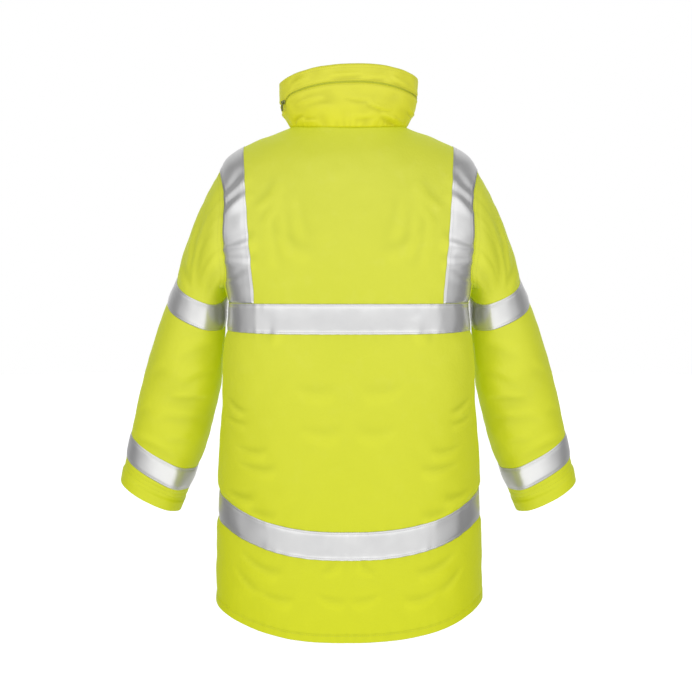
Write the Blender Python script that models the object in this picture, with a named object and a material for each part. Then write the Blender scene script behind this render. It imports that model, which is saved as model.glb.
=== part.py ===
"""High-visibility work jacket, worn and hollow, with retroreflective tapes.

Metres, +Z up. The jacket faces -Y and its back faces +Y, so the wearer's left is +X.
The origin is the middle of the neck seam, where the wearer's shoulders carry it.
Every piece of cloth is a closed wall between an outer and an inner grid of points.
"""
import math
from collections import namedtuple

import bmesh
import bpy
import numpy as np

# ---- driving dimensions -------------------------------------------------------------
SEAM_GAP = 0.0003            # clearance where two pieces meet
WALL = 0.003                 # padded cloth of body and sleeves
COLLAR_WALL = 0.008          # collar with the hood rolled up inside
BAND_RAISE = 0.0012          # extra thickness of the turned hem and cuff
BAND_EDGE = 0.0008           # length of the step up to them
TAPE_THICK = 0.0008          # retroreflective tape
ZIP_HALF_GAP = 0.0040        # half the gap between the two fronts
ZIP_STRIP_THICK = 0.0016
ZIP_STRIP_SUNK = 0.0006      # how far the zip lies below the cloth beside it

SHOULDER_DOWN = 0.140        # neck seam to shoulder point, along the seam's own scale
STRAP_TOP_DOWN = 0.062       # where the strap's inner edge crosses the shoulder seam
ARMPIT_DOWN = 0.280
CHEST_TAPE = (0.304, 0.353)  # upper and lower edge, down from the neck seam
HEM_TAPE = (0.675, 0.722)
HEM_BAND_DOWN = 0.846
HEM_DOWN = 0.858
ARMHOLE_SCOOP = math.radians(41.6)
ARMHOLE_POWER = 0.85         # below one, the armhole is squarer than an oval

# Level sections of the body: half width, depth to the back and to the front of the
# middle, and the height of the section at the side, the back and the front.
Section = namedtuple("Section", "down half_width back front side_z back_z front_z power")
BODY = (
    Section(0.000, 0.0980, 0.078, 0.088, 0.018, 0.012, -0.045, 2.00),   # neck seam
    Section(0.062, 0.1760, 0.116, 0.124, -0.014, -0.038, -0.092, 2.15),   # yoke
    Section(0.140, 0.2190, 0.141, 0.150, -0.056, -0.112, -0.150, 2.60),   # shoulder point
    Section(0.205, 0.2500, 0.153, 0.161, -0.145, -0.177, -0.200, 3.00),   # shoulder blades
    Section(0.280, 0.2090, 0.157, 0.167, -0.250, -0.251, -0.252, 3.60),   # armpits
    Section(0.353, 0.2100, 0.156, 0.168, -0.3215, -0.324, -0.322, 3.80),
    Section(0.500, 0.2190, 0.153, 0.168, -0.4500, -0.470, -0.450, 2.80),
    Section(0.675, 0.2285, 0.157, 0.172, -0.5950, -0.645, -0.595, 2.50),
    Section(0.858, 0.2325, 0.165, 0.178, -0.7850, -0.824, -0.785, 2.50),   # hem
)

# The stand collar, from the neck seam (down = 0) to its top edge (down = 1).
COLLAR = (
    Section(0.00, 0.0985, 0.0785, 0.0885, 0.0184, 0.0124, -0.0446, 2.0),
    Section(0.20, 0.1060, 0.0840, 0.0930, 0.0310, 0.0310, -0.0250, 2.1),
    Section(0.45, 0.1130, 0.0880, 0.1000, 0.0450, 0.0570, 0.0020, 2.1),
    Section(0.72, 0.1165, 0.0885, 0.1050, 0.0640, 0.0850, 0.0310, 2.3),
    Section(1.00, 0.1175, 0.0860, 0.1080, 0.0945, 0.1120, 0.0640, 2.3),
)
COLLAR_LEAN = 0.035          # the collar sits lower on the wearer's left
COLLAR_ZIP = 0.72            # height of the hood zip on the collar
COLLAR_ZIP_HALF = 0.030      # half the zip's height, on the collar's own scale
COLLAR_SEAM_HALF = 0.0018    # half the seam beyond the zip's ends
COLLAR_ZIP_CLEAR = 0.006     # between the zip and the cloth, on the collar's own scale
COLLAR_ZIP_ENDS = (math.radians(-100.0), math.radians(76.0))
ZIP_DIP = 0.115              # the zip turns down so far at its left end
ZIP_DIP_ANGLE = math.radians(70.0)
ZIP_DIP_WIDTHS = (math.radians(9.0), math.radians(25.0))
HOOD_SLIDER_ANGLE = math.radians(66.0)
FRONT_SLIDER_UP = 0.93       # height of the front zip's slider on the collar

# Sections of the sleeve below the armhole, square to its run, for the wearer's left.
Ring = namedtuple("Ring", "x y z half_width half_depth")
SLEEVE = (
    Ring(0.2540, -0.030, -0.250, 0.0450, 0.093),   # top edge of the upper tape
    Ring(0.2742, -0.050, -0.331, 0.0582, 0.088),
    Ring(0.3010, -0.090, -0.440, 0.0695, 0.079),   # elbow
    Ring(0.3370, -0.128, -0.555, 0.0670, 0.071),
    Ring(0.3660, -0.155, -0.637, 0.0605, 0.064),   # cuff
)
SLEEVE_UPPER_TAPE = (0.000, 0.024, 0.048)   # rows along the sleeve from its first ring
SLEEVE_LOWER_TAPE = (0.323, 0.347, 0.371)
CUFF_BAND = 0.400
TOP_SLANT = 0.15             # the rings slant up on their outer side: at the top,
CUFF_SLANT = 0.20            # and at the cuff
CUFF_LIFT = 0.19             # and up on their back side, most at the cuff
SLEEVE_POWER = 0.85          # below one, the sleeve's sections are squarer than an oval
UNDERARM_TURN = math.radians(20.0)      # turns the underarm seam back below the armpit
CAP_ROWS = 6

# Columns of a half panel: cells across the neck, the shoulder, the strap, the margin.
NECK_CELLS = 5
SHOULDER_CELLS = 3
STRAP_CELLS = 2
MARGIN_CELLS = 2
YOKE_ROWS = 12
NECK_BREADTH = 0.095         # breadth of the neck columns at the armpits
STRAP_BREADTH = 0.1535       # breadth of the strap's inner edge at the armpits
STRAP_OUTER_ANGLE = math.radians(69.3)
STRAP_MARGIN = 0.06          # share of the strap between its outer edge and the armhole
STRAP_LEAVES = math.radians(137.0)      # round the armhole, where the strap's edge leaves it
SEAM_TURN = math.radians(20.0)          # round the armhole, where its edge leaves the seam

STRAP_FIRST = NECK_CELLS + SHOULDER_CELLS
STRAP_LAST = STRAP_FIRST + STRAP_CELLS
LAST = STRAP_LAST + MARGIN_CELLS

YELLOW = (0.66, 0.73, 0.03, 1.0)
SILVER = (0.62, 0.62, 0.61, 1.0)
ZIP_YELLOW = (0.60, 0.70, 0.05, 1.0)
ZIP_METAL = (0.55, 0.56, 0.50, 1.0)


# ---- scene and materials ------------------------------------------------------------
for old in list(bpy.data.objects):
    bpy.data.objects.remove(old, do_unlink=True)


def material(name, colour, roughness, metallic):
    """A plain Principled finish."""
    finish = bpy.data.materials.new(name)
    finish.use_nodes = True
    shader = finish.node_tree.nodes["Principled BSDF"]
    shader.inputs["Base Color"].default_value = colour
    shader.inputs["Roughness"].default_value = roughness
    shader.inputs["Metallic"].default_value = metallic
    finish.diffuse_color = colour
    return finish


def add_object(name, points, faces, finish):
    """One named object with its faces turned outwards."""
    mesh = bpy.data.meshes.new(name)
    mesh.from_pydata([tuple(point) for point in points], [], faces)
    shape = bmesh.new()
    shape.from_mesh(mesh)
    bmesh.ops.recalc_face_normals(shape, faces=shape.faces)
    shape.to_mesh(mesh)
    shape.free()
    mesh.shade_smooth()
    mesh.set_sharp_from_angle(angle=math.radians(40.0))
    mesh.materials.append(finish)
    piece = bpy.data.objects.new(name, mesh)
    bpy.context.scene.collection.objects.link(piece)
    return piece


# ---- smooth forms through the sections ----------------------------------------------
def smooth(knots, values, at):
    """Cubic curve through the values, read at any place."""
    knots = np.asarray(knots, dtype=float)
    values = np.asarray(values, dtype=float)
    slopes = np.gradient(values, knots)
    index = np.clip(np.searchsorted(knots, at, side="right") - 1, 0, len(knots) - 2)
    width = knots[index + 1] - knots[index]
    t = (at - knots[index]) / width
    return ((2 * t ** 3 - 3 * t ** 2 + 1) * values[index]
            + (t ** 3 - 2 * t ** 2 + t) * width * slopes[index]
            + (3 * t ** 2 - 2 * t ** 3) * values[index + 1]
            + (t ** 3 - t ** 2) * width * slopes[index + 1])


def read(sections, name, down):
    """One column of a table of sections, at any distance down."""
    knots = [row.down for row in sections]
    values = [getattr(row, name) for row in sections]
    return smooth(knots, values, np.asarray(down, dtype=float))


def form(sections, angle, down):
    """Point of a garment form: angle 0 is the centre back, growing to the left."""
    angle, down = np.broadcast_arrays(np.asarray(angle, float), np.asarray(down, float))
    sine, cosine = np.sin(angle), np.cos(angle)
    share = 2.0 / read(sections, "power", down)
    behind = cosine > 0
    depth = np.where(behind, read(sections, "back", down), read(sections, "front", down))
    level = np.where(behind, read(sections, "back_z", down), read(sections, "front_z", down))
    side_z = read(sections, "side_z", down)
    x = read(sections, "half_width", down) * np.sign(sine) * np.abs(sine) ** share
    y = depth * np.sign(cosine) * np.abs(cosine) ** share
    z = side_z + (level - side_z) * cosine ** 2
    return np.stack((x, y, z), axis=-1)


def unit(vectors):
    """Vectors of length one."""
    return vectors / np.maximum(np.linalg.norm(vectors, axis=-1, keepdims=True), 1e-12)


def form_normal(sections, angle, down):
    """Outward direction of a garment form."""
    step_angle, step_down = 2e-3, 5e-4 * (sections[-1].down - sections[0].down)
    low, high = sections[0].down, sections[-1].down
    across = form(sections, angle + step_angle, down) - form(sections, angle - step_angle, down)
    along = (form(sections, angle, np.minimum(down + step_down, high))
             - form(sections, angle, np.maximum(down - step_down, low)))
    normal = unit(np.cross(across, along))
    centre = np.stack((np.zeros_like(normal[..., 0]),) * 2
                      + (form(sections, angle, down)[..., 2],), axis=-1)
    outward = form(sections, angle, down) - centre
    outward[..., 2] += 0.02
    return normal * np.where((normal * outward).sum(-1, keepdims=True) < 0, -1.0, 1.0)


def along_sleeve(rings):
    """Distance along the sleeve of each ring."""
    middles = np.array([(ring.x, ring.y, ring.z) for ring in rings])
    steps = np.linalg.norm(np.diff(middles, axis=0), axis=1)
    return np.concatenate(((0.0,), np.cumsum(steps)))


# ---- half panels of the body --------------------------------------------------------
def angle_at_breadth(breadth, down):
    """Angle from the centre at which a section is so broad."""
    half = read(BODY, "half_width", down)
    power = read(BODY, "power", down)
    return np.arcsin(np.clip(breadth / half, 0.0, 1.0) ** (power / 2.0))


def spread_evenly(angles, downs, facing, rows):
    """Points read off a fine column at equal steps of its real length."""
    turned = angles if facing > 0 else math.pi - angles
    steps = np.linalg.norm(np.diff(form(BODY, turned, downs), axis=0), axis=1)
    length = np.concatenate(((0.0,), np.cumsum(steps)))
    at = np.linspace(0.0, length[-1], rows + 1)
    return np.interp(at, length, angles), np.interp(at, length, downs)


def yoke_columns(facing, first_breadth):
    """Angle and distance down of each column above the armpits, for one half panel."""
    fine = np.linspace(0.0, 1.0, 400) ** 2
    columns = []
    neck_half = BODY[0].half_width
    for cell in range(NECK_CELLS + SHOULDER_CELLS + 1):
        if cell <= NECK_CELLS:
            top_down = 0.0
            share = cell / NECK_CELLS
            top = neck_half * math.sin(math.pi / 2 * share)
            bottom = NECK_BREADTH * share
        else:
            share = (cell - NECK_CELLS) / SHOULDER_CELLS
            top_down = STRAP_TOP_DOWN * share
            top = float(read(BODY, "half_width", top_down))
            bottom = NECK_BREADTH + (STRAP_BREADTH - NECK_BREADTH) * share
        top, bottom = max(top, first_breadth), max(bottom, first_breadth)
        downs = top_down + (ARMPIT_DOWN - top_down) * fine
        breadths = top + (bottom - top) * fine
        columns.append(spread_evenly(angle_at_breadth(breadths, downs), downs, facing,
                                     YOKE_ROWS))
    turn = np.linspace(0.0, math.pi, 400)
    hole_angles = math.pi / 2 - ARMHOLE_SCOOP * np.sin(turn) ** ARMHOLE_POWER
    hole_downs = SHOULDER_DOWN + (ARMPIT_DOWN - SHOULDER_DOWN) * (1 - np.cos(turn)) / 2
    armhole = spread_evenly(hole_angles, hole_downs, facing, YOKE_ROWS)
    strap_inner = columns[-1]
    inner_angles = np.interp(hole_downs, downs, angle_at_breadth(breadths, downs))
    leaving = np.clip((turn - STRAP_LEAVES) / (math.pi - STRAP_LEAVES), 0.0, 1.0) ** 2
    lower = (math.pi / 2 - STRAP_OUTER_ANGLE) / (math.pi / 2 - inner_angles[-1])
    margin = STRAP_MARGIN + (lower - STRAP_MARGIN) * leaving
    below = np.clip(turn / SEAM_TURN, 0.0, 1.0)
    strap_outer = spread_evenly(
        hole_angles + (inner_angles - hole_angles) * margin * below,
        hole_downs - (1.0 - below) * STRAP_MARGIN * (SHOULDER_DOWN - STRAP_TOP_DOWN),
        facing, YOKE_ROWS)
    for cell in range(1, STRAP_CELLS + 1):
        share = cell / STRAP_CELLS
        columns.append([strap_inner[i] * (1 - share) + strap_outer[i] * share
                        for i in (0, 1)])
    for cell in range(1, MARGIN_CELLS + 1):
        share = cell / MARGIN_CELLS
        columns.append([strap_outer[i] * (1 - share) + armhole[i] * share
                        for i in (0, 1)])
    angles = np.array([column[0] for column in columns]).T
    downs = np.array([column[1] for column in columns]).T
    return angles, downs


SKIRT_DOWNS = (
    CHEST_TAPE[0] - 2 * SEAM_GAP, CHEST_TAPE[0], sum(CHEST_TAPE) / 2, CHEST_TAPE[1],
    0.395, 0.440, 0.485, 0.530, 0.580, 0.630,
    HEM_TAPE[0], sum(HEM_TAPE) / 2, HEM_TAPE[1],
    0.765, 0.808, HEM_BAND_DOWN - BAND_EDGE, HEM_BAND_DOWN, HEM_DOWN)
CHEST_ROWS = (YOKE_ROWS + 2, YOKE_ROWS + 4)
HEM_ROWS = (YOKE_ROWS + 11, YOKE_ROWS + 13)
BAND_ROW = YOKE_ROWS + 17


def half_panel(facing, side, first_breadth=0.0):
    """Outer points, inner points and outward directions of one half of back or front.

    facing is 1 for the back and -1 for the front, side is 1 for the wearer's left.
    """
    angles, downs = yoke_columns(facing, first_breadth)
    skirt_downs = np.repeat(np.array(SKIRT_DOWNS)[:, None], LAST + 1, axis=1)
    skirt_angles = np.repeat(angles[-1:], len(SKIRT_DOWNS), axis=0)
    if first_breadth:
        skirt_angles[:, 0] = angle_at_breadth(first_breadth, skirt_downs[:, 0])
    angles = np.vstack((angles, skirt_angles))
    downs = np.vstack((downs, skirt_downs))
    turned = side * (angles if facing > 0 else math.pi - angles)
    outer = form(BODY, turned, downs)
    normal = form_normal(BODY, turned, downs)
    raised = np.zeros(outer.shape[0])
    raised[BAND_ROW:] = BAND_RAISE
    inner = outer - normal * WALL
    outer = outer + normal * (body_folds(turned, downs) + raised[:, None])[..., None]
    on_side = np.zeros(outer.shape[:2], dtype=bool)
    on_side[YOKE_ROWS:, LAST] = True
    on_side[0, NECK_CELLS:] = True
    for grid in (outer, inner):
        grid[on_side, 1] += facing * SEAM_GAP / 2
    return outer, inner, normal


# Large soft folds of the skirt (flutes) and below the armpits (drag lines).
FLUTE_HEIGHT = 0.0022
FLUTES_FROM, FLUTES_FULL = 0.40, 0.80
DRAG_HEIGHT = 0.0020
DRAG_WAVES = 34.0            # turns of the drag lines per metre down
DRAG_REACH = (0.30, 0.65)    # they are deepest at the first and gone at the second


def body_folds(angle, down):
    """Height of the large soft folds of the body at each point."""
    lower = np.clip((down - FLUTES_FROM) / (FLUTES_FULL - FLUTES_FROM), 0.0, 1.0)
    flutes = FLUTE_HEIGHT * lower * np.sin(5.0 * angle + 0.6) * np.cos(2.0 * angle - 0.4)
    begun = np.clip((down - ARMPIT_DOWN) / 0.05, 0.0, 1.0)
    left = np.clip((DRAG_REACH[1] - down) / (DRAG_REACH[1] - DRAG_REACH[0]), 0.0, 1.0)
    drag = DRAG_HEIGHT * np.sin(DRAG_WAVES * (down - ARMPIT_DOWN) + 2.2 * np.abs(angle))
    return flutes + drag * begun * left


def joined_halves(right, left):
    """A whole back: the right half read from its edge to the centre, then the left."""
    return [np.concatenate((r[:, ::-1], l[:, 1:]), axis=1) for r, l in zip(right, left)]


# ---- closed walls from two grids ----------------------------------------------------
def wall(name, outer, inner, finish, wrap=False):
    """A closed wall between two grids of rows and columns, wrapped round or not."""
    rows, columns = outer.shape[:2]
    points = np.concatenate((outer.reshape(-1, 3), inner.reshape(-1, 3)))
    back = rows * columns
    faces = []
    spans = columns if wrap else columns - 1
    for row in range(rows - 1):
        for column in range(spans):
            after = (column + 1) % columns
            a, b = row * columns + column, row * columns + after
            c, d = a + columns, b + columns
            faces.append((a, b, d, c))
            faces.append((back + a, back + c, back + d, back + b))
    for column in range(spans):
        after = (column + 1) % columns
        for row in (0, rows - 1):
            a, b = row * columns + column, row * columns + after
            faces.append((a, b, back + b, back + a))
    if not wrap:
        for row in range(rows - 1):
            for column in (0, columns - 1):
                a, b = row * columns + column, (row + 1) * columns + column
                faces.append((a, b, back + b, back + a))
    return add_object(name, points, faces, finish)


def tape(name, outer, normal, rows, columns, wrap=False):
    """A tape sewn on a panel: the panel's own points, moved out."""
    rows = slice(rows[0], rows[1] + 1)
    columns = slice(columns[0], columns[1] + 1)
    ground, out = outer[rows, columns], normal[rows, columns]
    return wall(name, ground + out * (SEAM_GAP + TAPE_THICK), ground + out * SEAM_GAP,
                silver, wrap)


# ---- sleeves ------------------------------------------------------------------------
def sleeve_frame(rings, at):
    """Middle, lateral axis, rearward axis and half sizes of the sleeve at a distance."""
    knots = along_sleeve(rings)
    middle = np.array([smooth(knots, [getattr(r, n) for r in rings], at) for n in "xyz"])
    ahead, behind = min(at + 1e-3, knots[-1]), max(at - 1e-3, 0.0)
    run = unit(np.array([smooth(knots, [getattr(r, n) for r in rings], ahead)
                         - smooth(knots, [getattr(r, n) for r in rings], behind)
                         for n in "xyz"]))
    lateral = unit(np.array((1.0, 0.0, 0.0)) - run * run[0])
    rear = np.cross(run, lateral)
    rear = rear if rear[1] > 0 else -rear
    half_width = smooth(knots, [r.half_width for r in rings], at)
    half_depth = smooth(knots, [r.half_depth for r in rings], at)
    return middle, run, lateral, rear, half_width, half_depth


def sleeve_ring(rings, at, count):
    """Points of one section: first the outermost, then round by the back."""
    middle, run, lateral, rear, half_width, half_depth = sleeve_frame(rings, at)
    turn = np.arange(count) * 2 * math.pi / count
    turn = turn - UNDERARM_TURN * (1 - np.cos(turn)) / 2
    wide = np.sign(np.cos(turn)) * np.abs(np.cos(turn)) ** SLEEVE_POWER
    deep = np.sign(np.sin(turn)) * np.abs(np.sin(turn)) ** SLEEVE_POWER
    share = max(at, 0.0) / along_sleeve(rings)[-1]
    slant = TOP_SLANT + (CUFF_SLANT - TOP_SLANT) * share
    points = (middle + half_width * wide[:, None] * (lateral - slant * run)
              + half_depth * deep[:, None] * (rear - CUFF_LIFT * share * run))
    return points, run


def grid_normals(points):
    """Outward directions of a grid that wraps round."""
    across = np.roll(points, -1, axis=1) - np.roll(points, 1, axis=1)
    along = np.gradient(points, axis=0)
    normal = unit(np.cross(across, along))
    outward = points - points.mean(axis=1, keepdims=True)
    return normal * np.where((normal * outward).sum() < 0, -1.0, 1.0)


# Way the sleeve leaves the armhole, at the shoulder, the back, the armpit, the front.
LEAVE = np.array(((0.50, -0.05, -0.86), (0.80, 0.16, -0.58),
                  (1.00, 0.00, -0.12), (0.80, -0.30, -0.52)))
SLEEVE_ALONG = SLEEVE_UPPER_TAPE + (
    0.080, 0.112, 0.142, 0.172, 0.200, 0.228, 0.258, 0.292) + SLEEVE_LOWER_TAPE + (
    CUFF_BAND - BAND_EDGE, CUFF_BAND)


def sleeve_grid(back, front):
    """Outer and inner points and directions of the left sleeve, from the armhole down."""
    count = 2 * YOKE_ROWS
    edges = []
    for level in (0, 1, 2):
        rear, fore = back[level][:YOKE_ROWS + 1, LAST], front[level][:YOKE_ROWS + 1, LAST]
        loop = np.concatenate((rear[:-1], fore[:0:-1]))
        loop[0] = (rear[0] + fore[0]) / 2
        loop[YOKE_ROWS] = (rear[-1] + fore[-1]) / 2
        edges.append(loop)
    run_round = unit(np.roll(edges[0], -1, axis=0) - np.roll(edges[0], 1, axis=0))
    away = unit(np.cross(run_round, edges[2]))
    away *= 1.0 if away[0, 0] > 0 else -1.0
    start_outer = edges[0] + away * SEAM_GAP
    start_inner = edges[1] + away * SEAM_GAP
    end, run = sleeve_ring(SLEEVE, 0.0, count)
    turn = np.arange(count) * 2 * math.pi / count
    weights = np.stack((np.clip(np.cos(turn), 0, 1) ** 2, np.clip(np.sin(turn), 0, 1) ** 2,
                        np.clip(-np.cos(turn), 0, 1) ** 2,
                        np.clip(-np.sin(turn), 0, 1) ** 2), axis=1)
    reach = np.linalg.norm(end - start_outer, axis=1, keepdims=True)
    leave = unit(weights @ LEAVE) * reach
    arrive = run * reach * 0.9
    rows = [start_outer]
    for step in range(1, CAP_ROWS):
        t = step / CAP_ROWS
        rows.append((2 * t ** 3 - 3 * t ** 2 + 1) * start_outer
                    + (t ** 3 - 2 * t ** 2 + t) * leave
                    + (3 * t ** 2 - 2 * t ** 3) * end + (t ** 3 - t ** 2) * arrive)
    length = along_sleeve(SLEEVE)[-1]
    for at in SLEEVE_ALONG + (length,):
        rows.append(sleeve_ring(SLEEVE, at, count)[0])
    outer = np.array(rows)
    normal = grid_normals(outer)
    inner = outer - normal * WALL
    inner[0] = start_inner
    outer[1:] += normal[1:] * sleeve_folds(outer.shape[0] - 1, count)[..., None]
    outer[-2:] += normal[-2:] * BAND_RAISE
    return outer, inner, normal


ELBOW_HEIGHT = 0.0025        # folds across the elbow
ELBOW_PLACE, ELBOW_SPREAD = 0.58, 0.16      # as shares of the sleeve's rows
ELBOW_WAVES = 30.0


def sleeve_folds(rows, count):
    """Height of the large soft folds of the sleeve."""
    row = np.arange(1, rows + 1)[:, None] / rows
    turn = np.arange(count)[None, :] * 2 * math.pi / count
    elbow = ELBOW_HEIGHT * np.exp(-((row - ELBOW_PLACE) / ELBOW_SPREAD) ** 2)
    return elbow * np.sin(ELBOW_WAVES * row + 1.8 * np.cos(turn)) * (0.6 - 0.4 * np.cos(turn))


def mirrored(grids):
    """The same grids for the wearer's right."""
    return [grid * np.array((-1.0, 1.0, 1.0)) for grid in grids]


# ---- collar -------------------------------------------------------------------------
COLLAR_CELLS = 36
COLLAR_FOOT_CLEAR = 0.0004


def collar_angles():
    """Angles round the collar, from the right of the front zip round to its left."""
    return np.linspace(-math.pi, math.pi, COLLAR_CELLS + 1)


def neck_seam(angles):
    """Points of the neck seam, on the straight stretches between the body's columns."""
    behind = yoke_columns(1, 0.0)[0][0, :NECK_CELLS + 1]
    ahead = math.pi - yoke_columns(-1, ZIP_HALF_GAP)[0][0, :NECK_CELLS + 1]
    knots = np.concatenate((behind[:-1], ahead[::-1]))
    points = form(BODY, knots, 0.0)
    seam = [np.interp(np.abs(angles), knots, points[:, axis]) for axis in range(3)]
    return np.stack((seam[0] * np.sign(angles), seam[1], seam[2]), axis=-1)


def collar_point(angle, up):
    """Point of the collar's outer face, with its lean to the wearer's left."""
    point = form(COLLAR, angle, up)
    point[..., 2] -= COLLAR_LEAN * point[..., 0] * np.asarray(up)
    return point


def collar_zip(angle):
    """Height of the hood zip up the collar: it turns down at its left end."""
    away = np.asarray(angle) - ZIP_DIP_ANGLE
    width = np.where(away < 0, *ZIP_DIP_WIDTHS)
    return COLLAR_ZIP - ZIP_DIP * np.exp(-(away / width) ** 2)


def collar_zip_half(angle):
    """Half the opening for the hood zip: wide between its ends, closed beyond."""
    inside = np.minimum(angle - COLLAR_ZIP_ENDS[0], COLLAR_ZIP_ENDS[1] - angle)
    share = np.clip(inside / math.radians(6.0) + 0.5, 0.0, 1.0)
    return COLLAR_SEAM_HALF + (COLLAR_ZIP_HALF - COLLAR_SEAM_HALF) * share


def collar_grid(ups, thickness):
    """Outer and inner grid of a collar band; ups gives its rows for each angle."""
    angles = np.broadcast_to(collar_angles(), ups.shape).copy()
    outer = collar_point(angles, ups)
    if ups[0, 0] == 0.0:
        outer[0] = neck_seam(angles[0]) + np.array((0.0, 0.0, COLLAR_FOOT_CLEAR))
    normal = form_normal(COLLAR, angles, ups)
    for column, sign in ((0, -1.0), (-1, 1.0)):
        outer[:, column, 0] = sign * ZIP_HALF_GAP
        normal[:, column] = (0.0, -1.0, 0.0)
    normal[..., 2] = 0.0
    normal = unit(normal)
    return outer, outer - normal * thickness, normal


# ---- small hard pieces --------------------------------------------------------------
def block(size, middle, bevel):
    """Points and faces of a bevelled block."""
    shape = bmesh.new()
    bmesh.ops.create_cube(shape, size=1.0)
    for vertex in shape.verts:
        vertex.co = [vertex.co[i] * size[i] for i in range(3)]
    bmesh.ops.bevel(shape, geom=list(shape.edges), offset=bevel, segments=1,
                    affect='EDGES', profile=0.5)
    shape.verts.ensure_lookup_table()
    points = np.array([tuple(vertex.co) for vertex in shape.verts]) + np.asarray(middle)
    faces = [tuple(vertex.index for vertex in face.verts) for face in shape.faces]
    shape.free()
    return points, faces


AXLE_STANDOFF = 0.0042       # from the slider's foot to the axis of its pull
SLIDER_CLEAR = 0.0006        # under the slider's foot
PLATE_THICK = 0.0024         # the slider's plate, and the two lugs on it
PLATE_BEVEL = 0.0005
LUG_BEVEL = 0.0002
LUG_SUNK = 0.0004            # how far the lugs reach into the plate
LUG_OUT = 0.0012             # how far the lugs reach beyond the axle
LUG_WIDTH = 0.0011
LUG_LENGTH = 0.0034
LUG_PLACE = 0.0021           # from the slider's middle to a lug's
PULL_THICK = 0.0012
PULL_HALF_NECK = 0.0012      # half the width between the lugs
PULL_NECK_END = 0.0035       # below the axle, where the pull widens
PULL_SHOULDER = 0.0062       # below the axle, where it is at its full width
PULL_CORNER = 0.0010
PULL_TOP = 0.0010            # above the axle

# Outer sizes of the two zips' sliders and pulls.
Fastener = namedtuple("Fastener", "slider_width slider_length pull_width pull_length")
HOOD_FASTENER = Fastener(0.0085, 0.0060, 0.0046, 0.0150)
FRONT_FASTENER = Fastener(0.0070, 0.0090, 0.0060, 0.0260)


def zip_slider(name, axle, facing, fastener):
    """A slider with two lugs round the axle; it faces off the cloth."""
    points, faces = block((fastener.slider_width, PLATE_THICK, fastener.slider_length),
                          (0.0, AXLE_STANDOFF - PLATE_THICK / 2, 0.0), PLATE_BEVEL)
    base = add_object(name, points, faces, zip_metal)
    root = AXLE_STANDOFF - PLATE_THICK + LUG_SUNK
    for side in (-1, 1):
        points, faces = block((LUG_WIDTH, LUG_OUT + root, LUG_LENGTH),
                              (side * LUG_PLACE, (root - LUG_OUT) / 2, 0.0), LUG_BEVEL)
        lug = add_object(name + "_lug", points, faces, zip_metal)
        lug.hide_render = True
        lug.display_type = 'WIRE'
        lug.parent = base
        union = base.modifiers.new("lug", 'BOOLEAN')
        union.operation = 'UNION'
        union.object = lug
    base.rotation_euler = (0.0, 0.0, facing)
    base.location = axle
    return base


def zip_pull(name, axle, facing, fastener):
    """A flat pull tab; it hangs straight down from the slider's axle."""
    half, length = fastener.pull_width / 2, fastener.pull_length
    right = [(PULL_HALF_NECK, PULL_TOP), (PULL_HALF_NECK, -PULL_NECK_END),
             (half, -PULL_SHOULDER), (half, PULL_CORNER - length),
             (half - PULL_CORNER, -length)]
    profile = right + [(-x, z) for x, z in reversed(right)]
    count = len(profile)
    points = [(x, y, z) for y in (-PULL_THICK / 2, PULL_THICK / 2) for x, z in profile]
    faces = [tuple(range(count)), tuple(range(2 * count - 1, count - 1, -1))]
    for first in range(count):
        after = (first + 1) % count
        faces.append((first, after, count + after, count + first))
    pull = add_object(name, points, faces, zip_metal)
    pull.rotation_euler = (0.0, 0.0, facing)
    pull.location = axle
    return pull


# ---- build the jacket ---------------------------------------------------------------
yellow = material("hi_vis_cloth", YELLOW, 0.75, 0.0)
silver = material("reflective_tape", SILVER, 0.35, 0.4)
zip_yellow = material("zip_tape", ZIP_YELLOW, 0.6, 0.0)
zip_metal = material("zip_metal", ZIP_METAL, 0.35, 0.9)

# body
back_left = half_panel(1, 1)
back_right = half_panel(1, -1)
back = joined_halves(back_right, back_left)
wall("back", back[0], back[1], yellow)
fronts = {"left": half_panel(-1, 1, ZIP_HALF_GAP), "right": half_panel(-1, -1, ZIP_HALF_GAP)}
for side, grids in fronts.items():
    wall("front_" + side, grids[0], grids[1], yellow)

# body tapes
tape("back_chest_tape", back[0], back[2], CHEST_ROWS, (0, 2 * LAST))
tape("back_hem_tape", back[0], back[2], HEM_ROWS, (0, 2 * LAST))
for side, grids in fronts.items():
    tape("front_chest_tape_" + side, grids[0], grids[2], CHEST_ROWS, (0, LAST))
    tape("front_hem_tape_" + side, grids[0], grids[2], HEM_ROWS, (0, LAST))
STRAP_ROWS = (0, YOKE_ROWS + 1)
tape("strap_tape_back_left", back[0], back[2], STRAP_ROWS,
     (LAST + STRAP_FIRST, LAST + STRAP_LAST))
tape("strap_tape_back_right", back[0], back[2], STRAP_ROWS,
     (LAST - STRAP_LAST, LAST - STRAP_FIRST))
for side, grids in fronts.items():
    tape("strap_tape_front_" + side, grids[0], grids[2], STRAP_ROWS,
         (STRAP_FIRST, STRAP_LAST))

# sleeves and their tapes
left_sleeve = sleeve_grid(back_left, fronts["left"])
SLEEVE_TAPE_ROWS = {"upper": (CAP_ROWS, CAP_ROWS + 2), "lower": (CAP_ROWS + 11, CAP_ROWS + 13)}
for side, grids in (("left", left_sleeve), ("right", mirrored(left_sleeve))):
    wall("sleeve_" + side, grids[0], grids[1], yellow, wrap=True)
    for place, rows in SLEEVE_TAPE_ROWS.items():
        tape("sleeve_tape_%s_%s" % (place, side), grids[0], grids[2], rows,
             (0, 2 * YOKE_ROWS), wrap=True)

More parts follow.
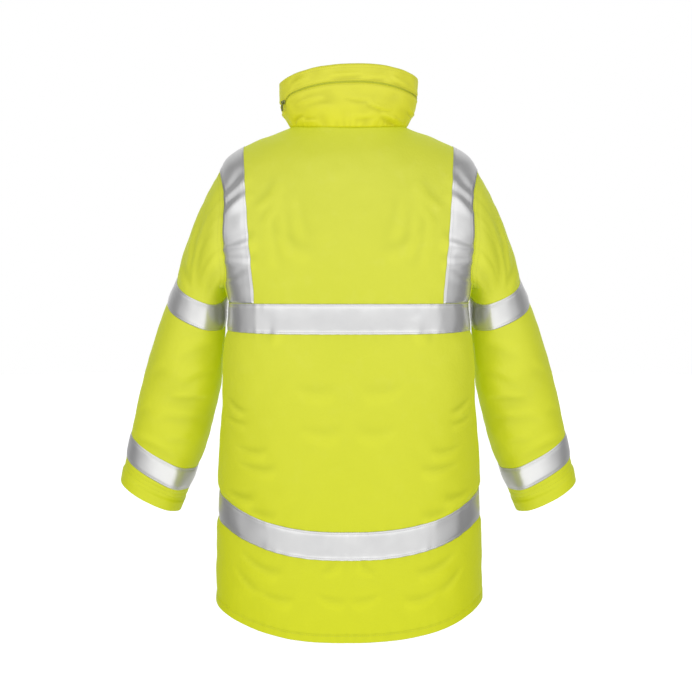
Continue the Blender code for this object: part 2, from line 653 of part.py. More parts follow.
# collar
opening = collar_zip_half(collar_angles())
seam_ups = collar_zip(collar_angles())
lower_rows = np.linspace(0.0, 1.0, 5)[:, None] * (seam_ups - opening)[None, :]
upper_rows = ((seam_ups + opening)[None, :]
              + np.linspace(0.0, 1.0, 4)[:, None] * (1.0 - seam_ups - opening)[None, :])
lower_collar = collar_grid(lower_rows, COLLAR_WALL)
wall("collar_lower", lower_collar[0], lower_collar[1], yellow)
upper_collar = collar_grid(upper_rows, COLLAR_WALL)
wall("collar_upper", upper_collar[0], upper_collar[1], yellow)

# hood zip, round the back of the collar
angles = collar_angles()
zipped = np.flatnonzero(opening > 0.9 * COLLAR_ZIP_HALF)
zip_angles = np.tile(angles[zipped], (2, 1))
zip_ups = seam_ups[zipped] + np.array(((-1.0,), (1.0,))) * (opening[zipped] - COLLAR_ZIP_CLEAR)
zip_face = collar_point(zip_angles, zip_ups)
zip_out = form_normal(COLLAR, zip_angles, zip_ups) * np.array((1.0, 1.0, 0.0))
zip_face = zip_face - unit(zip_out) * ZIP_STRIP_SUNK
wall("hood_zip_tape", zip_face, zip_face - unit(zip_out) * ZIP_STRIP_THICK, zip_yellow)
hood_slider_up = collar_zip(HOOD_SLIDER_ANGLE)
hood_out = unit(form_normal(COLLAR, np.array(HOOD_SLIDER_ANGLE), hood_slider_up)
                * np.array((1.0, 1.0, 0.0)))
hood_facing = math.pi - math.atan2(hood_out[0], hood_out[1])
hood_axle = (collar_point(np.array(HOOD_SLIDER_ANGLE), hood_slider_up)
             + hood_out * (AXLE_STANDOFF + SLIDER_CLEAR))
zip_slider("hood_zip_slider", hood_axle, hood_facing, HOOD_FASTENER)
zip_pull("hood_zip_pull", hood_axle, hood_facing, HOOD_FASTENER)

# front zip, from the hem to the top of the collar
centre_downs = np.concatenate((yoke_columns(-1, ZIP_HALF_GAP)[1][:, 0], SKIRT_DOWNS))[::-1]
centre = np.full(centre_downs.shape, math.pi)
body_out = form_normal(BODY, centre, centre_downs)
body_line = form(BODY, centre, centre_downs) + body_out * body_folds(centre, centre_downs)[:, None]
collar_ups = np.concatenate((lower_rows[1:, 0], upper_rows[:, 0]))
collar_line = collar_point(np.full(collar_ups.shape, math.pi), collar_ups)
collar_out = np.tile((0.0, -1.0, 0.0), (len(collar_ups), 1))
body_out[-1] = unit(body_out[-1] + collar_out[0])
line = np.concatenate((body_line, collar_line))
out = np.concatenate((body_out, collar_out))
line[:, 0] = 0.0
out[:, 0] = 0.0
for side, sign in (("left", 1.0), ("right", -1.0)):
    edges = np.array((SEAM_GAP / 2, ZIP_HALF_GAP - SEAM_GAP))
    across = np.stack((sign * edges, 0 * edges, 0 * edges), axis=1)
    face = (line - out * ZIP_STRIP_SUNK)[:, None] + across[None]
    wall("front_zip_tape_" + side, face, face - out[:, None] * ZIP_STRIP_THICK, zip_yellow)
front_axle = (collar_point(np.array(math.pi), np.array(FRONT_SLIDER_UP))
              * np.array((0.0, 1.0, 1.0))
              - np.array((0.0, AXLE_STANDOFF + SLIDER_CLEAR, 0.0)))
zip_slider("front_zip_slider", front_axle, 0.0, FRONT_FASTENER)
zip_pull("front_zip_pull", front_axle, 0.0, FRONT_FASTENER)
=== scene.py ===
"""A padded high-visibility work jacket, standing as worn with no wearer in it.

Metres, +Z up. Its back faces +Y and the wearer's left is +X. Each panel is a closed wall
of cloth on the jacket's own sections, with its folds laid in one by one.
"""
import math
from collections import namedtuple

import bpy
import numpy as np
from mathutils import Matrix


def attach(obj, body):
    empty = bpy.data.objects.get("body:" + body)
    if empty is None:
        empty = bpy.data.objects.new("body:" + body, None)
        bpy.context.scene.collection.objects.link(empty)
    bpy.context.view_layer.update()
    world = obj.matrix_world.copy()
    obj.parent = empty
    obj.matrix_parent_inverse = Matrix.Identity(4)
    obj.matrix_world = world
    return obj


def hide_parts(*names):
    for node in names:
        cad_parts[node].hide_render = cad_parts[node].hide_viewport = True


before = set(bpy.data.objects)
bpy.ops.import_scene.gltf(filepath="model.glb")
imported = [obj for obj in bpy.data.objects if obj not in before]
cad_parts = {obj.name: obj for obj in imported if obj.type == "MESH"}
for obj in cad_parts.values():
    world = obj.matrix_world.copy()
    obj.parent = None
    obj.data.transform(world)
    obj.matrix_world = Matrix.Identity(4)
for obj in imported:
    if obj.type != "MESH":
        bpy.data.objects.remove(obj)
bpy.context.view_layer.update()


# ---- Studio -------------------------------------------------------------------------
# A white floor far below the jacket and soft light all round it: a bright wall behind
# the camera, a paler one before the fronts, dark walls at the sides and a dim ceiling.
FLOOR_DOWN = -1.72
FLOOR_RADIUS = 14.0
FLOOR_GLOWS = 0.62
FLOOR_WHITE = (0.95, 0.95, 0.95, 1.0)
BACKDROP_WHITE = (1.0, 1.0, 1.0, 1.0)
STUDIO_LIGHT = 1.79
# Share of the light by how far a direction points to the back, and how far up.
LIGHT_BY_BACK = ((-1.00, 0.50), (-0.80, 0.40), (-0.50, 0.11), (0.00, 0.11), (0.12, 0.38),
                 (0.60, 0.50), (0.70, 0.86), (1.00, 0.86))
LIGHT_BY_UP = ((-1.00, 1.00), (-0.62, 1.00), (-0.40, 0.66), (0.06, 0.66), (0.28, 0.95),
               (0.55, 1.00), (0.74, 0.98), (0.87, 0.25))
SCREEN_LIGHT = ((0.00, 0.00), (-0.86, 0.00), (-0.92, 0.62), (-1.00, 0.62))   # before the fronts
CAMERA_PLACE = (0.0043, 2.2, -0.189)
CAMERA_DIP = math.radians(4.29)
CAMERA_LENS = 66.54


def fill(tree, node, sockets):
    """Give a node's sockets their values; the output of another node is linked."""
    for socket, value in dict(sockets).items():
        if isinstance(value, bpy.types.NodeSocket):
            tree.links.new(value, node.inputs[socket])
        else:
            node.inputs[socket].default_value = value


def add(tree, kind, sockets=(), **settings):
    """A new shader node with its settings and the values of its sockets."""
    node = tree.nodes.new("ShaderNode" + kind)
    for name, value in settings.items():
        setattr(node, name, value)
    fill(tree, node, sockets)
    return node


def ramp(tree, value, steps):
    """Colour read off a table of places, from 0 to 1, and colours."""
    table = add(tree, "ValToRGB", {"Fac": value})
    elements = table.color_ramp.elements
    while len(elements) < len(steps):
        elements.new(0.5)
    for element, (at, _) in zip(elements, steps):
        element.position = at
    for element, (_, colour) in zip(elements, steps):
        element.color = colour
    return table.outputs["Color"]


def new_material(name, sockets):
    """A material, its tree and its shader with those values."""
    finish = bpy.data.materials.new(name)
    finish.use_nodes = True
    shader = finish.node_tree.nodes["Principled BSDF"]
    fill(finish.node_tree, shader, sockets)
    return finish, finish.node_tree, shader


def light_along(toward, axis, steps, low=-1.0, high=1.0):
    """Light read off a table by one part of a direction."""
    part = add(sky, "SeparateXYZ", {0: toward}).outputs[axis]
    place = add(sky, "MapRange", {"Value": part, "From Min": low, "From Max": high})
    return ramp(sky, place.outputs["Result"],
                [((at - low) / (high - low), (share, share, share, 1.0)) for at, share in steps])


bpy.ops.mesh.primitive_circle_add(vertices=96, radius=FLOOR_RADIUS, fill_type='NGON',
                                  location=(0.0, 0.0, FLOOR_DOWN))
floor = bpy.context.object
floor.name = "floor"
floor.data.materials.append(new_material("floor_paint", {
    "Base Color": FLOOR_WHITE, "Roughness": 0.9,
    "Emission Color": FLOOR_WHITE, "Emission Strength": FLOOR_GLOWS})[0])
floor.visible_diffuse = False
floor.visible_glossy = False

studio = bpy.data.worlds.new("studio")
bpy.context.scene.world = studio
studio.use_nodes = True
sky = studio.node_tree
sky.nodes.clear()
direction = add(sky, "TexCoord").outputs["Generated"]
level = add(sky, "VectorMath", {0: direction, 1: (1.0, 1.0, 0.0)}, operation='MULTIPLY')
bearing = add(sky, "VectorMath", {0: level.outputs[0]}, operation='NORMALIZE').outputs[0]
walls = add(sky, "Math", {0: light_along(bearing, "Y", LIGHT_BY_BACK),
                          1: light_along(direction, "Z", LIGHT_BY_UP)}, operation='MULTIPLY')
light = add(sky, "Math", {0: walls.outputs[0],
                          1: light_along(direction, "Y", SCREEN_LIGHT, 0.0, -1.0)},
            operation='MAXIMUM')
glow = add(sky, "Background", {"Color": light.outputs[0], "Strength": STUDIO_LIGHT})
backdrop = add(sky, "Background", {"Color": BACKDROP_WHITE})
seen = add(sky, "MixShader", {0: add(sky, "LightPath").outputs["Is Camera Ray"],
                              1: glow.outputs[0], 2: backdrop.outputs[0]})
add(sky, "OutputWorld", {"Surface": seen.outputs[0]})
bpy.context.scene.view_settings.view_transform = 'Standard'

camera = bpy.data.objects.new("camera", bpy.data.cameras.new("camera"))
camera.location = CAMERA_PLACE
camera.rotation_euler = (math.pi / 2 - CAMERA_DIP, 0.0, math.pi)
camera.data.lens = CAMERA_LENS
bpy.context.scene.collection.objects.link(camera)
bpy.context.scene.camera = camera


# ---- Hi-vis cloth -------------------------------------------------------------------
# Fluorescent yellow polyester, a coated plain weave over thin padding. It has a slight
# sheen on its raised threads and turns paler and softer where it is rubbed.
THREAD = 0.0011              # width of one thread of the weave
CLOTH_YELLOW = (0.565, 0.550, 0.064, 1.0)
CLOTH_SHADE = (0.545, 0.535, 0.058, 1.0)
CLOTH_WORN = (0.585, 0.565, 0.092, 1.0)
CLOTH_BOTTOM_SHADE = (0.530, 0.525, 0.004, 1.0)      # painted shade: the colour at the bottom, with none of the whitish light from above
SHEEN_TINT = (0.88, 1.0, 0.05, 1.0)
RIDGE = -0.2                 # painted shade: cloth is painted palest on a ridge this high, darkest in a full crease
# painted shade and highlight: the colour is scaled by the first on a ridge and by the second in a
# full crease
CREASE_SHADE = (1.04, 0.80)
CLOTH_TOP_LIGHT_SPAN = (-0.86, -0.06)     # heights of the painted bottom shade and of the painted top light
# Painted light: the fluorescent cloth glows by itself here, strongly enough to lift its shaded
# sides and hollows.
CLOTH_GLOW = (0.55, 0.75, 0.00, 1.0)
CLOTH_GLOWS = 0.24
DYE_CLOUDS, RUBBED_CLOUDS, CRINKLES = (9.0, 3.0), (42.0, 5.0), (160.0, 4.0)   # scale, detail
CRINKLE_RAISES, WEAVE_RAISES = (0.35, 0.0012), (0.25, 0.0002)                 # strength, height


def noise(tree, scale, detail):
    """Clouds that stay with the piece, from 0 to 1."""
    place = add(tree, "TexCoord").outputs["Object"]
    return add(tree, "TexNoise",
               {"Scale": scale, "Detail": detail, "Vector": place}).outputs["Fac"]


def spread(tree, value, low, high, start, end):
    """A value between two limits, taken to the same place between two others."""
    return add(tree, "MapRange", {"Value": value, "From Min": low, "From Max": high,
                                  "To Min": start, "To Max": end}).outputs["Result"]


def blend(tree, share, first, second):
    """Two colours mixed; sockets 6 and 7 and output 2 are those for colours."""
    return add(tree, "Mix", {0: share, 6: first, 7: second}, data_type='RGBA').outputs[2]


def waves(tree, width, axis='X'):
    """Ribs of that width on the flat cloth; at scale 1 they are a twentieth of 2 pi wide."""
    flat = add(tree, "UVMap", uv_map="cloth").outputs["UV"]
    return add(tree, "TexWave", {"Scale": 2 * math.pi / (20.0 * width), "Vector": flat},
               bands_direction=axis).outputs["Fac"]


def bump(tree, height, strength, distance, under=()):
    """Direction of a finely raised surface, laid over another one if there is one."""
    return add(tree, "Bump", {"Height": height, "Strength": strength, "Distance": distance,
                              **dict(under)}).outputs["Normal"]


def cloth_material(name, yellow, shade, worn, top_light_span, glow, glows):
    """Woven cloth: threads both ways, colour painted paler towards the shoulders as if lit from
    above and darker in creases, soft sheen.
    """
    finish, tree, shader = new_material(name, {
        "Roughness": 0.50, "Sheen Weight": 0.40, "Sheen Roughness": 0.5,
        "Sheen Tint": SHEEN_TINT, "Specular IOR Level": 0.30,
        "Emission Color": glow, "Emission Strength": glows})
    dye = blend(tree, spread(tree, noise(tree, *DYE_CLOUDS), 0.35, 0.65, 0.0, 1.0), yellow, shade)
    rubbed = blend(tree, spread(tree, noise(tree, *RUBBED_CLOUDS), 0.55, 0.80, 0.0, 0.55),
                   dye, worn)
    # Painted light: the colour is deeper low down and paler and whiter near the shoulders, as light
    # from above would make it.
    place = add(tree, "SeparateXYZ", {0: add(tree, "TexCoord").outputs["Object"]})
    top_lit = blend(tree, spread(tree, place.outputs["Z"], *top_light_span, 0.0, 1.0), CLOTH_BOTTOM_SHADE, rubbed)
    # Painted shade: the colour darkens in creases and along stitch lines and pales on ridges, read
    # from each point's hollow.
    hollow = add(tree, "Attribute", attribute_name="hollow").outputs["Fac"]
    crease_shading = spread(tree, hollow, RIDGE, 1.0, *CREASE_SHADE)
    shaded = add(tree, "VectorMath", {0: top_lit, "Scale": crease_shading}, operation='SCALE')
    weave = add(tree, "Math", {0: waves(tree, THREAD), 1: waves(tree, THREAD, 'Y')},
                operation='MULTIPLY')
    crinkle = bump(tree, noise(tree, *CRINKLES), *CRINKLE_RAISES)
    woven = bump(tree, weave.outputs[0], *WEAVE_RAISES, {"Normal": crinkle})
    fill(tree, shader, {"Base Color": shaded.outputs[0], "Normal": woven})
    return finish


hi_vis = cloth_material("hi_vis_cloth", CLOTH_YELLOW, CLOTH_SHADE, CLOTH_WORN, CLOTH_TOP_LIGHT_SPAN,
                        CLOTH_GLOW, CLOTH_GLOWS)


# ---- Back panel ---------------------------------------------------------------------
# One piece of padded cloth from the neck seam to a dropped tail, cut in at the
# armholes and turned up at the hem. It hangs from the shoulders in soft folds.
SEAM_GAP = 0.0003
WALL = 0.003
BAND_RAISE = 0.0012
INNER_RELIEF = 0.8           # share of the outer relief that shows on the inside
ZIP_HALF_GAP = 0.0040
SHOULDER_DOWN = 0.140
STRAP_TOP_DOWN = 0.062
ARMPIT_DOWN = 0.280
CHEST_TAPE = (0.304, 0.353)
HEM_TAPE = (0.675, 0.722)
HEM_BAND_DOWN = 0.846
HEM_DOWN = 0.858
ARMHOLE_SCOOP = math.radians(41.6)
ARMHOLE_POWER = 0.85         # below one, the armhole is squarer than an oval

Section = namedtuple("Section", "down half_width back front side_z back_z front_z power")
BODY = (
    Section(0.000, 0.0980, 0.078, 0.088, 0.018, 0.012, -0.045, 2.00),    # neck seam
    Section(0.062, 0.1760, 0.116, 0.124, -0.014, -0.038, -0.092, 2.15),   # yoke
    Section(0.140, 0.2190, 0.141, 0.150, -0.056, -0.112, -0.150, 2.60),   # shoulder point
    Section(0.205, 0.2500, 0.153, 0.161, -0.145, -0.177, -0.200, 3.00),   # shoulder blades
    Section(0.280, 0.2090, 0.157, 0.167, -0.250, -0.251, -0.252, 3.60),   # armpits
    Section(0.353, 0.2100, 0.156, 0.168, -0.3215, -0.324, -0.322, 3.80),
    Section(0.500, 0.2190, 0.153, 0.168, -0.4500, -0.470, -0.450, 2.80),
    Section(0.675, 0.2285, 0.157, 0.172, -0.5950, -0.645, -0.595, 2.50),
    Section(0.858, 0.2325, 0.165, 0.178, -0.7850, -0.824, -0.785, 2.50),   # hem
)
NECK_CELLS = 30              # columns of a half panel: neck, shoulder, strap, margin
SHOULDER_CELLS = 18
STRAP_CELLS = 12
MARGIN_CELLS = 12
STRAP_FIRST = NECK_CELLS + SHOULDER_CELLS
STRAP_LAST = STRAP_FIRST + STRAP_CELLS
LAST = STRAP_LAST + MARGIN_CELLS
YOKE_ROWS = 72
ROW_STEP = 0.0040
FINE_STEPS = 400             # of a column or the armhole, before its rows are spread evenly
NECK_BREADTH = 0.095
STRAP_BREADTH = 0.1535
STRAP_OUTER_ANGLE = math.radians(69.3)
STRAP_MARGIN = 0.06
STRAP_LEAVES = math.radians(137.0)      # round the armhole, where the strap's edge leaves it
SEAM_TURN = math.radians(20.0)          # round the armhole, where its edge leaves the seam
STITCH_IN = 0.0035           # from a tape's or band's edge to its stitch line
STITCH_HALF = 0.0009         # half the groove that a stitch line pulls in
EDGE_ROUND = 0.8             # how far a free edge bulges, as a share of half the wall

# The grids of a piece: its outer and inner points, the outward directions, and how deep in
# a crease each outer point lies, from RIDGE to 1, which sets the painted shade of its colour.
Cloth = namedtuple("Cloth", "outer inner out hollow")


def hermite(t):
    """Weights of a curve's start, its slope there, its end and its slope there."""
    return (2 * t ** 3 - 3 * t ** 2 + 1, t ** 3 - 2 * t ** 2 + t,
            3 * t ** 2 - 2 * t ** 3, t ** 3 - t ** 2)


def smooth(knots, values, at):
    """Cubic curve through the values, read at any place."""
    knots, values = np.asarray(knots, dtype=float), np.asarray(values, dtype=float)
    slopes = np.gradient(values, knots, axis=0)
    index = np.clip(np.searchsorted(knots, at, side="right") - 1, 0, len(knots) - 2)
    width = knots[index + 1] - knots[index]
    start, start_slope, end, end_slope = hermite((at - knots[index]) / width)
    return (start * values[index] + start_slope * width * slopes[index]
            + end * values[index + 1] + end_slope * width * slopes[index + 1])


def read(sections, name, down):
    """One column of a table of sections, at any distance down."""
    return smooth([row.down for row in sections], [getattr(row, name) for row in sections],
                  np.asarray(down, dtype=float))


def form(sections, angle, down):
    """Point of a garment form: angle 0 is the centre back, growing to the left."""
    angle, down = np.broadcast_arrays(np.asarray(angle, float), np.asarray(down, float))
    sine, cosine = np.sin(angle), np.cos(angle)
    share = 2.0 / read(sections, "power", down)
    behind = cosine > 0
    crease_shading = np.where(behind, read(sections, "back", down), read(sections, "front", down))
    level = np.where(behind, read(sections, "back_z", down), read(sections, "front_z", down))
    side_z = read(sections, "side_z", down)
    x = read(sections, "half_width", down) * np.sign(sine) * np.abs(sine) ** share
    y = crease_shading * np.sign(cosine) * np.abs(cosine) ** share
    return np.stack((x, y, side_z + (level - side_z) * cosine ** 2), axis=-1)


def unit(vectors):
    """Vectors of length one."""
    return vectors / np.maximum(np.linalg.norm(vectors, axis=-1, keepdims=True), 1e-12)


def form_normal(sections, angle, down):
    """Outward direction of a garment form."""
    low, high = sections[0].down, sections[-1].down
    step_angle, step_down = 2e-3, 5e-4 * (high - low)
    across = form(sections, angle + step_angle, down) - form(sections, angle - step_angle, down)
    along = (form(sections, angle, np.minimum(down + step_down, high))
             - form(sections, angle, np.maximum(down - step_down, low)))
    normal = unit(np.cross(across, along))
    outward = form(sections, angle, down)
    outward[..., 2] = 0.02                   # on the shoulders, out is a little up
    return normal * np.where((normal * outward).sum(-1, keepdims=True) < 0, -1.0, 1.0)


def angle_at_breadth(breadth, down):
    """Angle from the centre at which a section is so broad."""
    half, power = read(BODY, "half_width", down), read(BODY, "power", down)
    return np.arcsin(np.clip(breadth / half, 0.0, 1.0) ** (power / 2.0))


def distance_along(points):
    """Distance of each point of a line, or of each row of a grid, from the first."""
    steps = np.linalg.norm(np.diff(points, axis=0), axis=-1)
    return np.concatenate((np.zeros((1,) + steps.shape[1:]), np.cumsum(steps, axis=0)))


def read_along(places, distances, values):
    """The values of a line of points, read at any distance along it."""
    return np.stack([np.interp(places, distances, column) for column in values.T], axis=-1)


def spread_evenly(angles, downs, facing):
    """A fine column's angles and distances down, read at equal steps of its real length."""
    length = distance_along(form(BODY, angles if facing > 0 else math.pi - angles, downs))
    at = np.linspace(0.0, length[-1], YOKE_ROWS + 1)
    return np.interp(at, length, angles), np.interp(at, length, downs)


def yoke_columns(facing, first_breadth):
    """Angle and distance down of each column above the armpits, for one half panel."""
    fine = np.linspace(0.0, 1.0, FINE_STEPS) ** 2
    columns = []
    for cell in range(STRAP_FIRST + 1):
        neck = min(cell / NECK_CELLS, 1.0)
        shoulder = max(cell - NECK_CELLS, 0) / SHOULDER_CELLS
        top_down = STRAP_TOP_DOWN * shoulder
        top = float(read(BODY, "half_width", top_down)) * math.sin(math.pi / 2 * neck)
        bottom = NECK_BREADTH * neck + (STRAP_BREADTH - NECK_BREADTH) * shoulder
        top, bottom = max(top, first_breadth), max(bottom, first_breadth)
        downs = top_down + (ARMPIT_DOWN - top_down) * fine
        inner_angles = angle_at_breadth(top + (bottom - top) * fine, downs)
        columns.append(spread_evenly(inner_angles, downs, facing))
    turn = np.linspace(0.0, math.pi, FINE_STEPS)
    hole_angles = math.pi / 2 - ARMHOLE_SCOOP * np.sin(turn) ** ARMHOLE_POWER
    hole_downs = SHOULDER_DOWN + (ARMPIT_DOWN - SHOULDER_DOWN) * (1 - np.cos(turn)) / 2
    armhole = spread_evenly(hole_angles, hole_downs, facing)
    inner_angles = np.interp(hole_downs, downs, inner_angles)
    leaving = np.clip((turn - STRAP_LEAVES) / (math.pi - STRAP_LEAVES), 0.0, 1.0) ** 2
    lower = (math.pi / 2 - STRAP_OUTER_ANGLE) / (math.pi / 2 - inner_angles[-1])
    margin = STRAP_MARGIN + (lower - STRAP_MARGIN) * leaving
    below = np.clip(turn / SEAM_TURN, 0.0, 1.0)
    strap_outer = spread_evenly(
        hole_angles + (inner_angles - hole_angles) * margin * below,
        hole_downs - (1.0 - below) * STRAP_MARGIN * (SHOULDER_DOWN - STRAP_TOP_DOWN), facing)
    for first, last, cells in ((columns[-1], strap_outer, STRAP_CELLS),
                               (strap_outer, armhole, MARGIN_CELLS)):
        for share in np.arange(1, cells + 1) / cells:
            columns.append([first[i] * (1 - share) + last[i] * share for i in (0, 1)])
    return [np.array([column[i] for column in columns]).T for i in (0, 1)]


def filled_between(stops, step):
    """The stops, with even rows between them no further apart than a step."""
    rows = [stops[0]]
    for low, high in zip(stops[:-1], stops[1:]):
        count = max(1, math.ceil((high - low) / step - 1e-6))
        rows.extend(low + (high - low) * np.arange(1, count + 1) / count)
    return np.array(rows)


def stitched(edges):
    """Rows of a tape: its edges and, inside each, the groove of the stitch line."""
    low, high = edges
    first, second = low + STITCH_IN, high - STITCH_IN
    return (low, first - STITCH_HALF, first, first + STITCH_HALF,
            second - STITCH_HALF, second, second + STITCH_HALF, high)


SKIRT_DOWNS = filled_between(
    (ARMPIT_DOWN, CHEST_TAPE[0] - 2 * SEAM_GAP) + stitched(CHEST_TAPE) + stitched(HEM_TAPE)
    + (HEM_BAND_DOWN - 0.0025, HEM_BAND_DOWN - 0.0008, HEM_BAND_DOWN, HEM_BAND_DOWN + 0.002,
       HEM_DOWN - 0.001, HEM_DOWN), ROW_STEP)[1:]


def row_at(down):
    """Number of the panel row at a distance down, below the armpits."""
    return YOKE_ROWS + 1 + int(np.argmin(np.abs(SKIRT_DOWNS - down)))


CHEST_ROWS = [row_at(edge) for edge in CHEST_TAPE]
HEM_ROWS = [row_at(edge) for edge in HEM_TAPE]
BAND_ROW = row_at(HEM_BAND_DOWN)

FLUTES = 0.0022              # height of the soft flutes round the skirt
FLUTES_FROM, FLUTES_OVER = 0.40, 0.40
DRAG = 0.0020                # height of the level folds below the armpits
DRAG_PITCH = 34.0            # in radians a metre down
DRAG_LEAN = 2.2
DRAG_FROM, DRAG_OVER = 0.30, 0.35
DRAG_STARTS = 0.05           # below the armpits, where it has its full height


def body_folds(angle, down):
    """Height of the large soft folds of the body at each point."""
    lower = np.clip((down - FLUTES_FROM) / FLUTES_OVER, 0.0, 1.0)
    flutes = FLUTES * lower * np.sin(5.0 * angle + 0.6) * np.cos(2.0 * angle - 0.4)
    side = np.clip((down - ARMPIT_DOWN) / DRAG_STARTS, 0.0, 1.0)
    drag = DRAG * np.sin(DRAG_PITCH * (down - ARMPIT_DOWN) + DRAG_LEAN * np.abs(angle))
    return flutes + drag * side * np.clip(1.0 - (down - DRAG_FROM) / DRAG_OVER, 0.0, 1.0)


# Creases of the back in millimetres: from x, z to x, z, both sides alike; how far it is
# bowed to one side; half width and height of its ridge, which has a trough beside it.
BACK_CREASES = (
    (205, -108, 160, -66, 2, 7, 2.6),         # down the strap
    (205, -138, 158, -95, -2, 8, 2.8),
    (210, -190, 146, -176, 2, 7.5, 3),
    (210, -205, 148, -214, 2, 6, 2.2),
    (205, -246, 158, -226, 2, 5, 1.4),
    (150, -125, 105, -80, 4, 7.5, 1.6),       # strap, to the collar
    (138, -150, 112, -100, 4, 6.5, 1.3),
    (120, -160, 60, -205, 6, 9, 0.9),
    (132, -112, 118, -222, 3, 6.5, 0.9),      # down from the shoulder
    (106, -120, 96, -205, 3, 6.5, 0.7),
    (86, -100, 72, -180, 3, 7.5, 0.6),
    (122, -344, 106, -296, 2, 10, 1.4),       # across the chest tape
    (205, -434, 174, -462, 4, 5, 3.4),        # drag from the side seams
    (208, -466, 170, -482, 4, 4.8, 2.6),
    (190, -514, 134, -524, 6, 5.5, 2.2),
    (186, -542, 118, -553, 6, 5.8, 2.4),
    (90, -415, 20, -428, 6, 9, 0.8),          # across the small of the back
    (80, -482, 10, -492, 8, 9, 0.8),
    (206, -594, 158, -608, 4, 7, 3.4),        # puffs above the hem tape
    (176, -616, 120, -634, 4, 7, 2),
    (180, -690, 114, -724, 8, 6.5, 2.4),      # tail
    (192, -714, 156, -756, 4, 5.8, 2.4),
    (150, -750, 90, -766, 6, 6, 1.8),
    (54, -750, 4, -766, 4, 5.5, 1.3),
    (42, -716, 12, -698, 4, 6, 1.2),
)
TROUGH = 0.7                 # depth of a crease's trough, as a share of its ridge
TROUGH_OFF = 1.7             # from the ridge to the trough, in half widths
CREASE_TAPER = 0.8
CREASE_SPREADS = 0.3         # how much wider and narrower than its middle a crease's ends are
PANEL_UNITS = np.full(7, 0.001)      # takes the numbers of a panel's crease to metres
CREASE_DEEP = 0.0020         # depth of a crease whose cloth is painted darkest
SEAM_SHADE = 0.4             # how much of that painted shade a stitch line has


def crease_relief(creases, units, across, along, spreads=0.0, trough=1.0, around=None):
    """Height of a piece's creases at points so far across and along it.

    trough says on which side of a crease its trough lies, around how far it is round a
    closed piece.
    """
    relief = np.zeros(np.broadcast(across, along).shape)
    for numbers in creases:
        across1, along1, across2, along2, bow, width, height = np.array(numbers) * units
        run = np.array((across2 - across1, along2 - along1))
        length = np.linalg.norm(run)
        run = run / length
        off, down = across - across1, along - along1
        if around:
            off = (off + around / 2) % around - around / 2
        share = (off * run[0] + down * run[1]) / length
        aside = down * run[0] - off * run[1] - bow * 4.0 * share * (1.0 - share)
        width = width * (1.0 - spreads + 2.0 * spreads * np.clip(share, 0.0, 1.0))
        taper = np.clip(1.0 - (2.0 * share - 1.0) ** 2, 0.0, 1.0) ** CREASE_TAPER
        beside = aside + trough * TROUGH_OFF * width
        relief += height * taper * (np.exp(-(aside / width) ** 2)
                                    - TROUGH * np.exp(-(beside / width) ** 2))
    return relief


def soft_ripple(x, z, seed, count, shortest, height):
    """Uneven low waves in many directions, the same on every run."""
    draw = np.random.default_rng(seed)
    total = np.zeros_like(x)
    for _ in range(count):
        turn, shift = draw.uniform(0.0, math.pi), draw.uniform(0.0, 2 * math.pi)
        wave = shortest * draw.uniform(1.0, 2.6)
        total += np.sin(2 * math.pi * (x * math.cos(turn) + z * math.sin(turn)) / wave + shift)
    return height * total / math.sqrt(count)


def stitch_pull(down, lines, crease_shading, width):
    """How far stitch lines pull the cloth in, at each distance down."""
    pull = np.zeros_like(down)
    for line in lines:
        pull = np.minimum(pull, -crease_shading * np.exp(-np.abs((down - line) / width)))
    return pull


# The stiff tapes bend in flat facets: beyond x the cloth drops back, by drop in all, over
# so long a reach, and less and less off the tape.
FACETS = ((CHEST_TAPE, 0.150, 0.0024, 0.012),
          (HEM_TAPE, 0.184, 0.0022, 0.010),
          (HEM_TAPE, 0.130, 0.0012, 0.012))
FACET_FADE = 0.008


def near_tape(down, tape, fade):
    """One on a tape, and less and less off it."""
    off_tape = np.maximum(np.maximum(tape[0] - down, down - tape[1]), 0.0)
    return np.exp(-(off_tape / fade) ** 2)


BAND_LINES = CHEST_TAPE + HEM_TAPE + (HEM_BAND_DOWN,)
BAND_PULL = (0.0012, 0.008)          # depth and width of the pull of a stitch line
SIDE_SEAM_PULL, SIDE_SEAM_WIDTH = 0.0014, 0.004
PUCKER = 0.45                # how unevenly the thread gathers the cloth along a seam
PUCKER_STEP = 0.019
PUCKER_SHIFT, PUCKER_SHIFT_PITCH = 3.0, 40.0
BACK_RIPPLE = (14, 0.028, 0.0004)           # number of waves, the shortest, their height
SKIRT_STARTS = 0.03          # below the armpits, where the seams pull in full


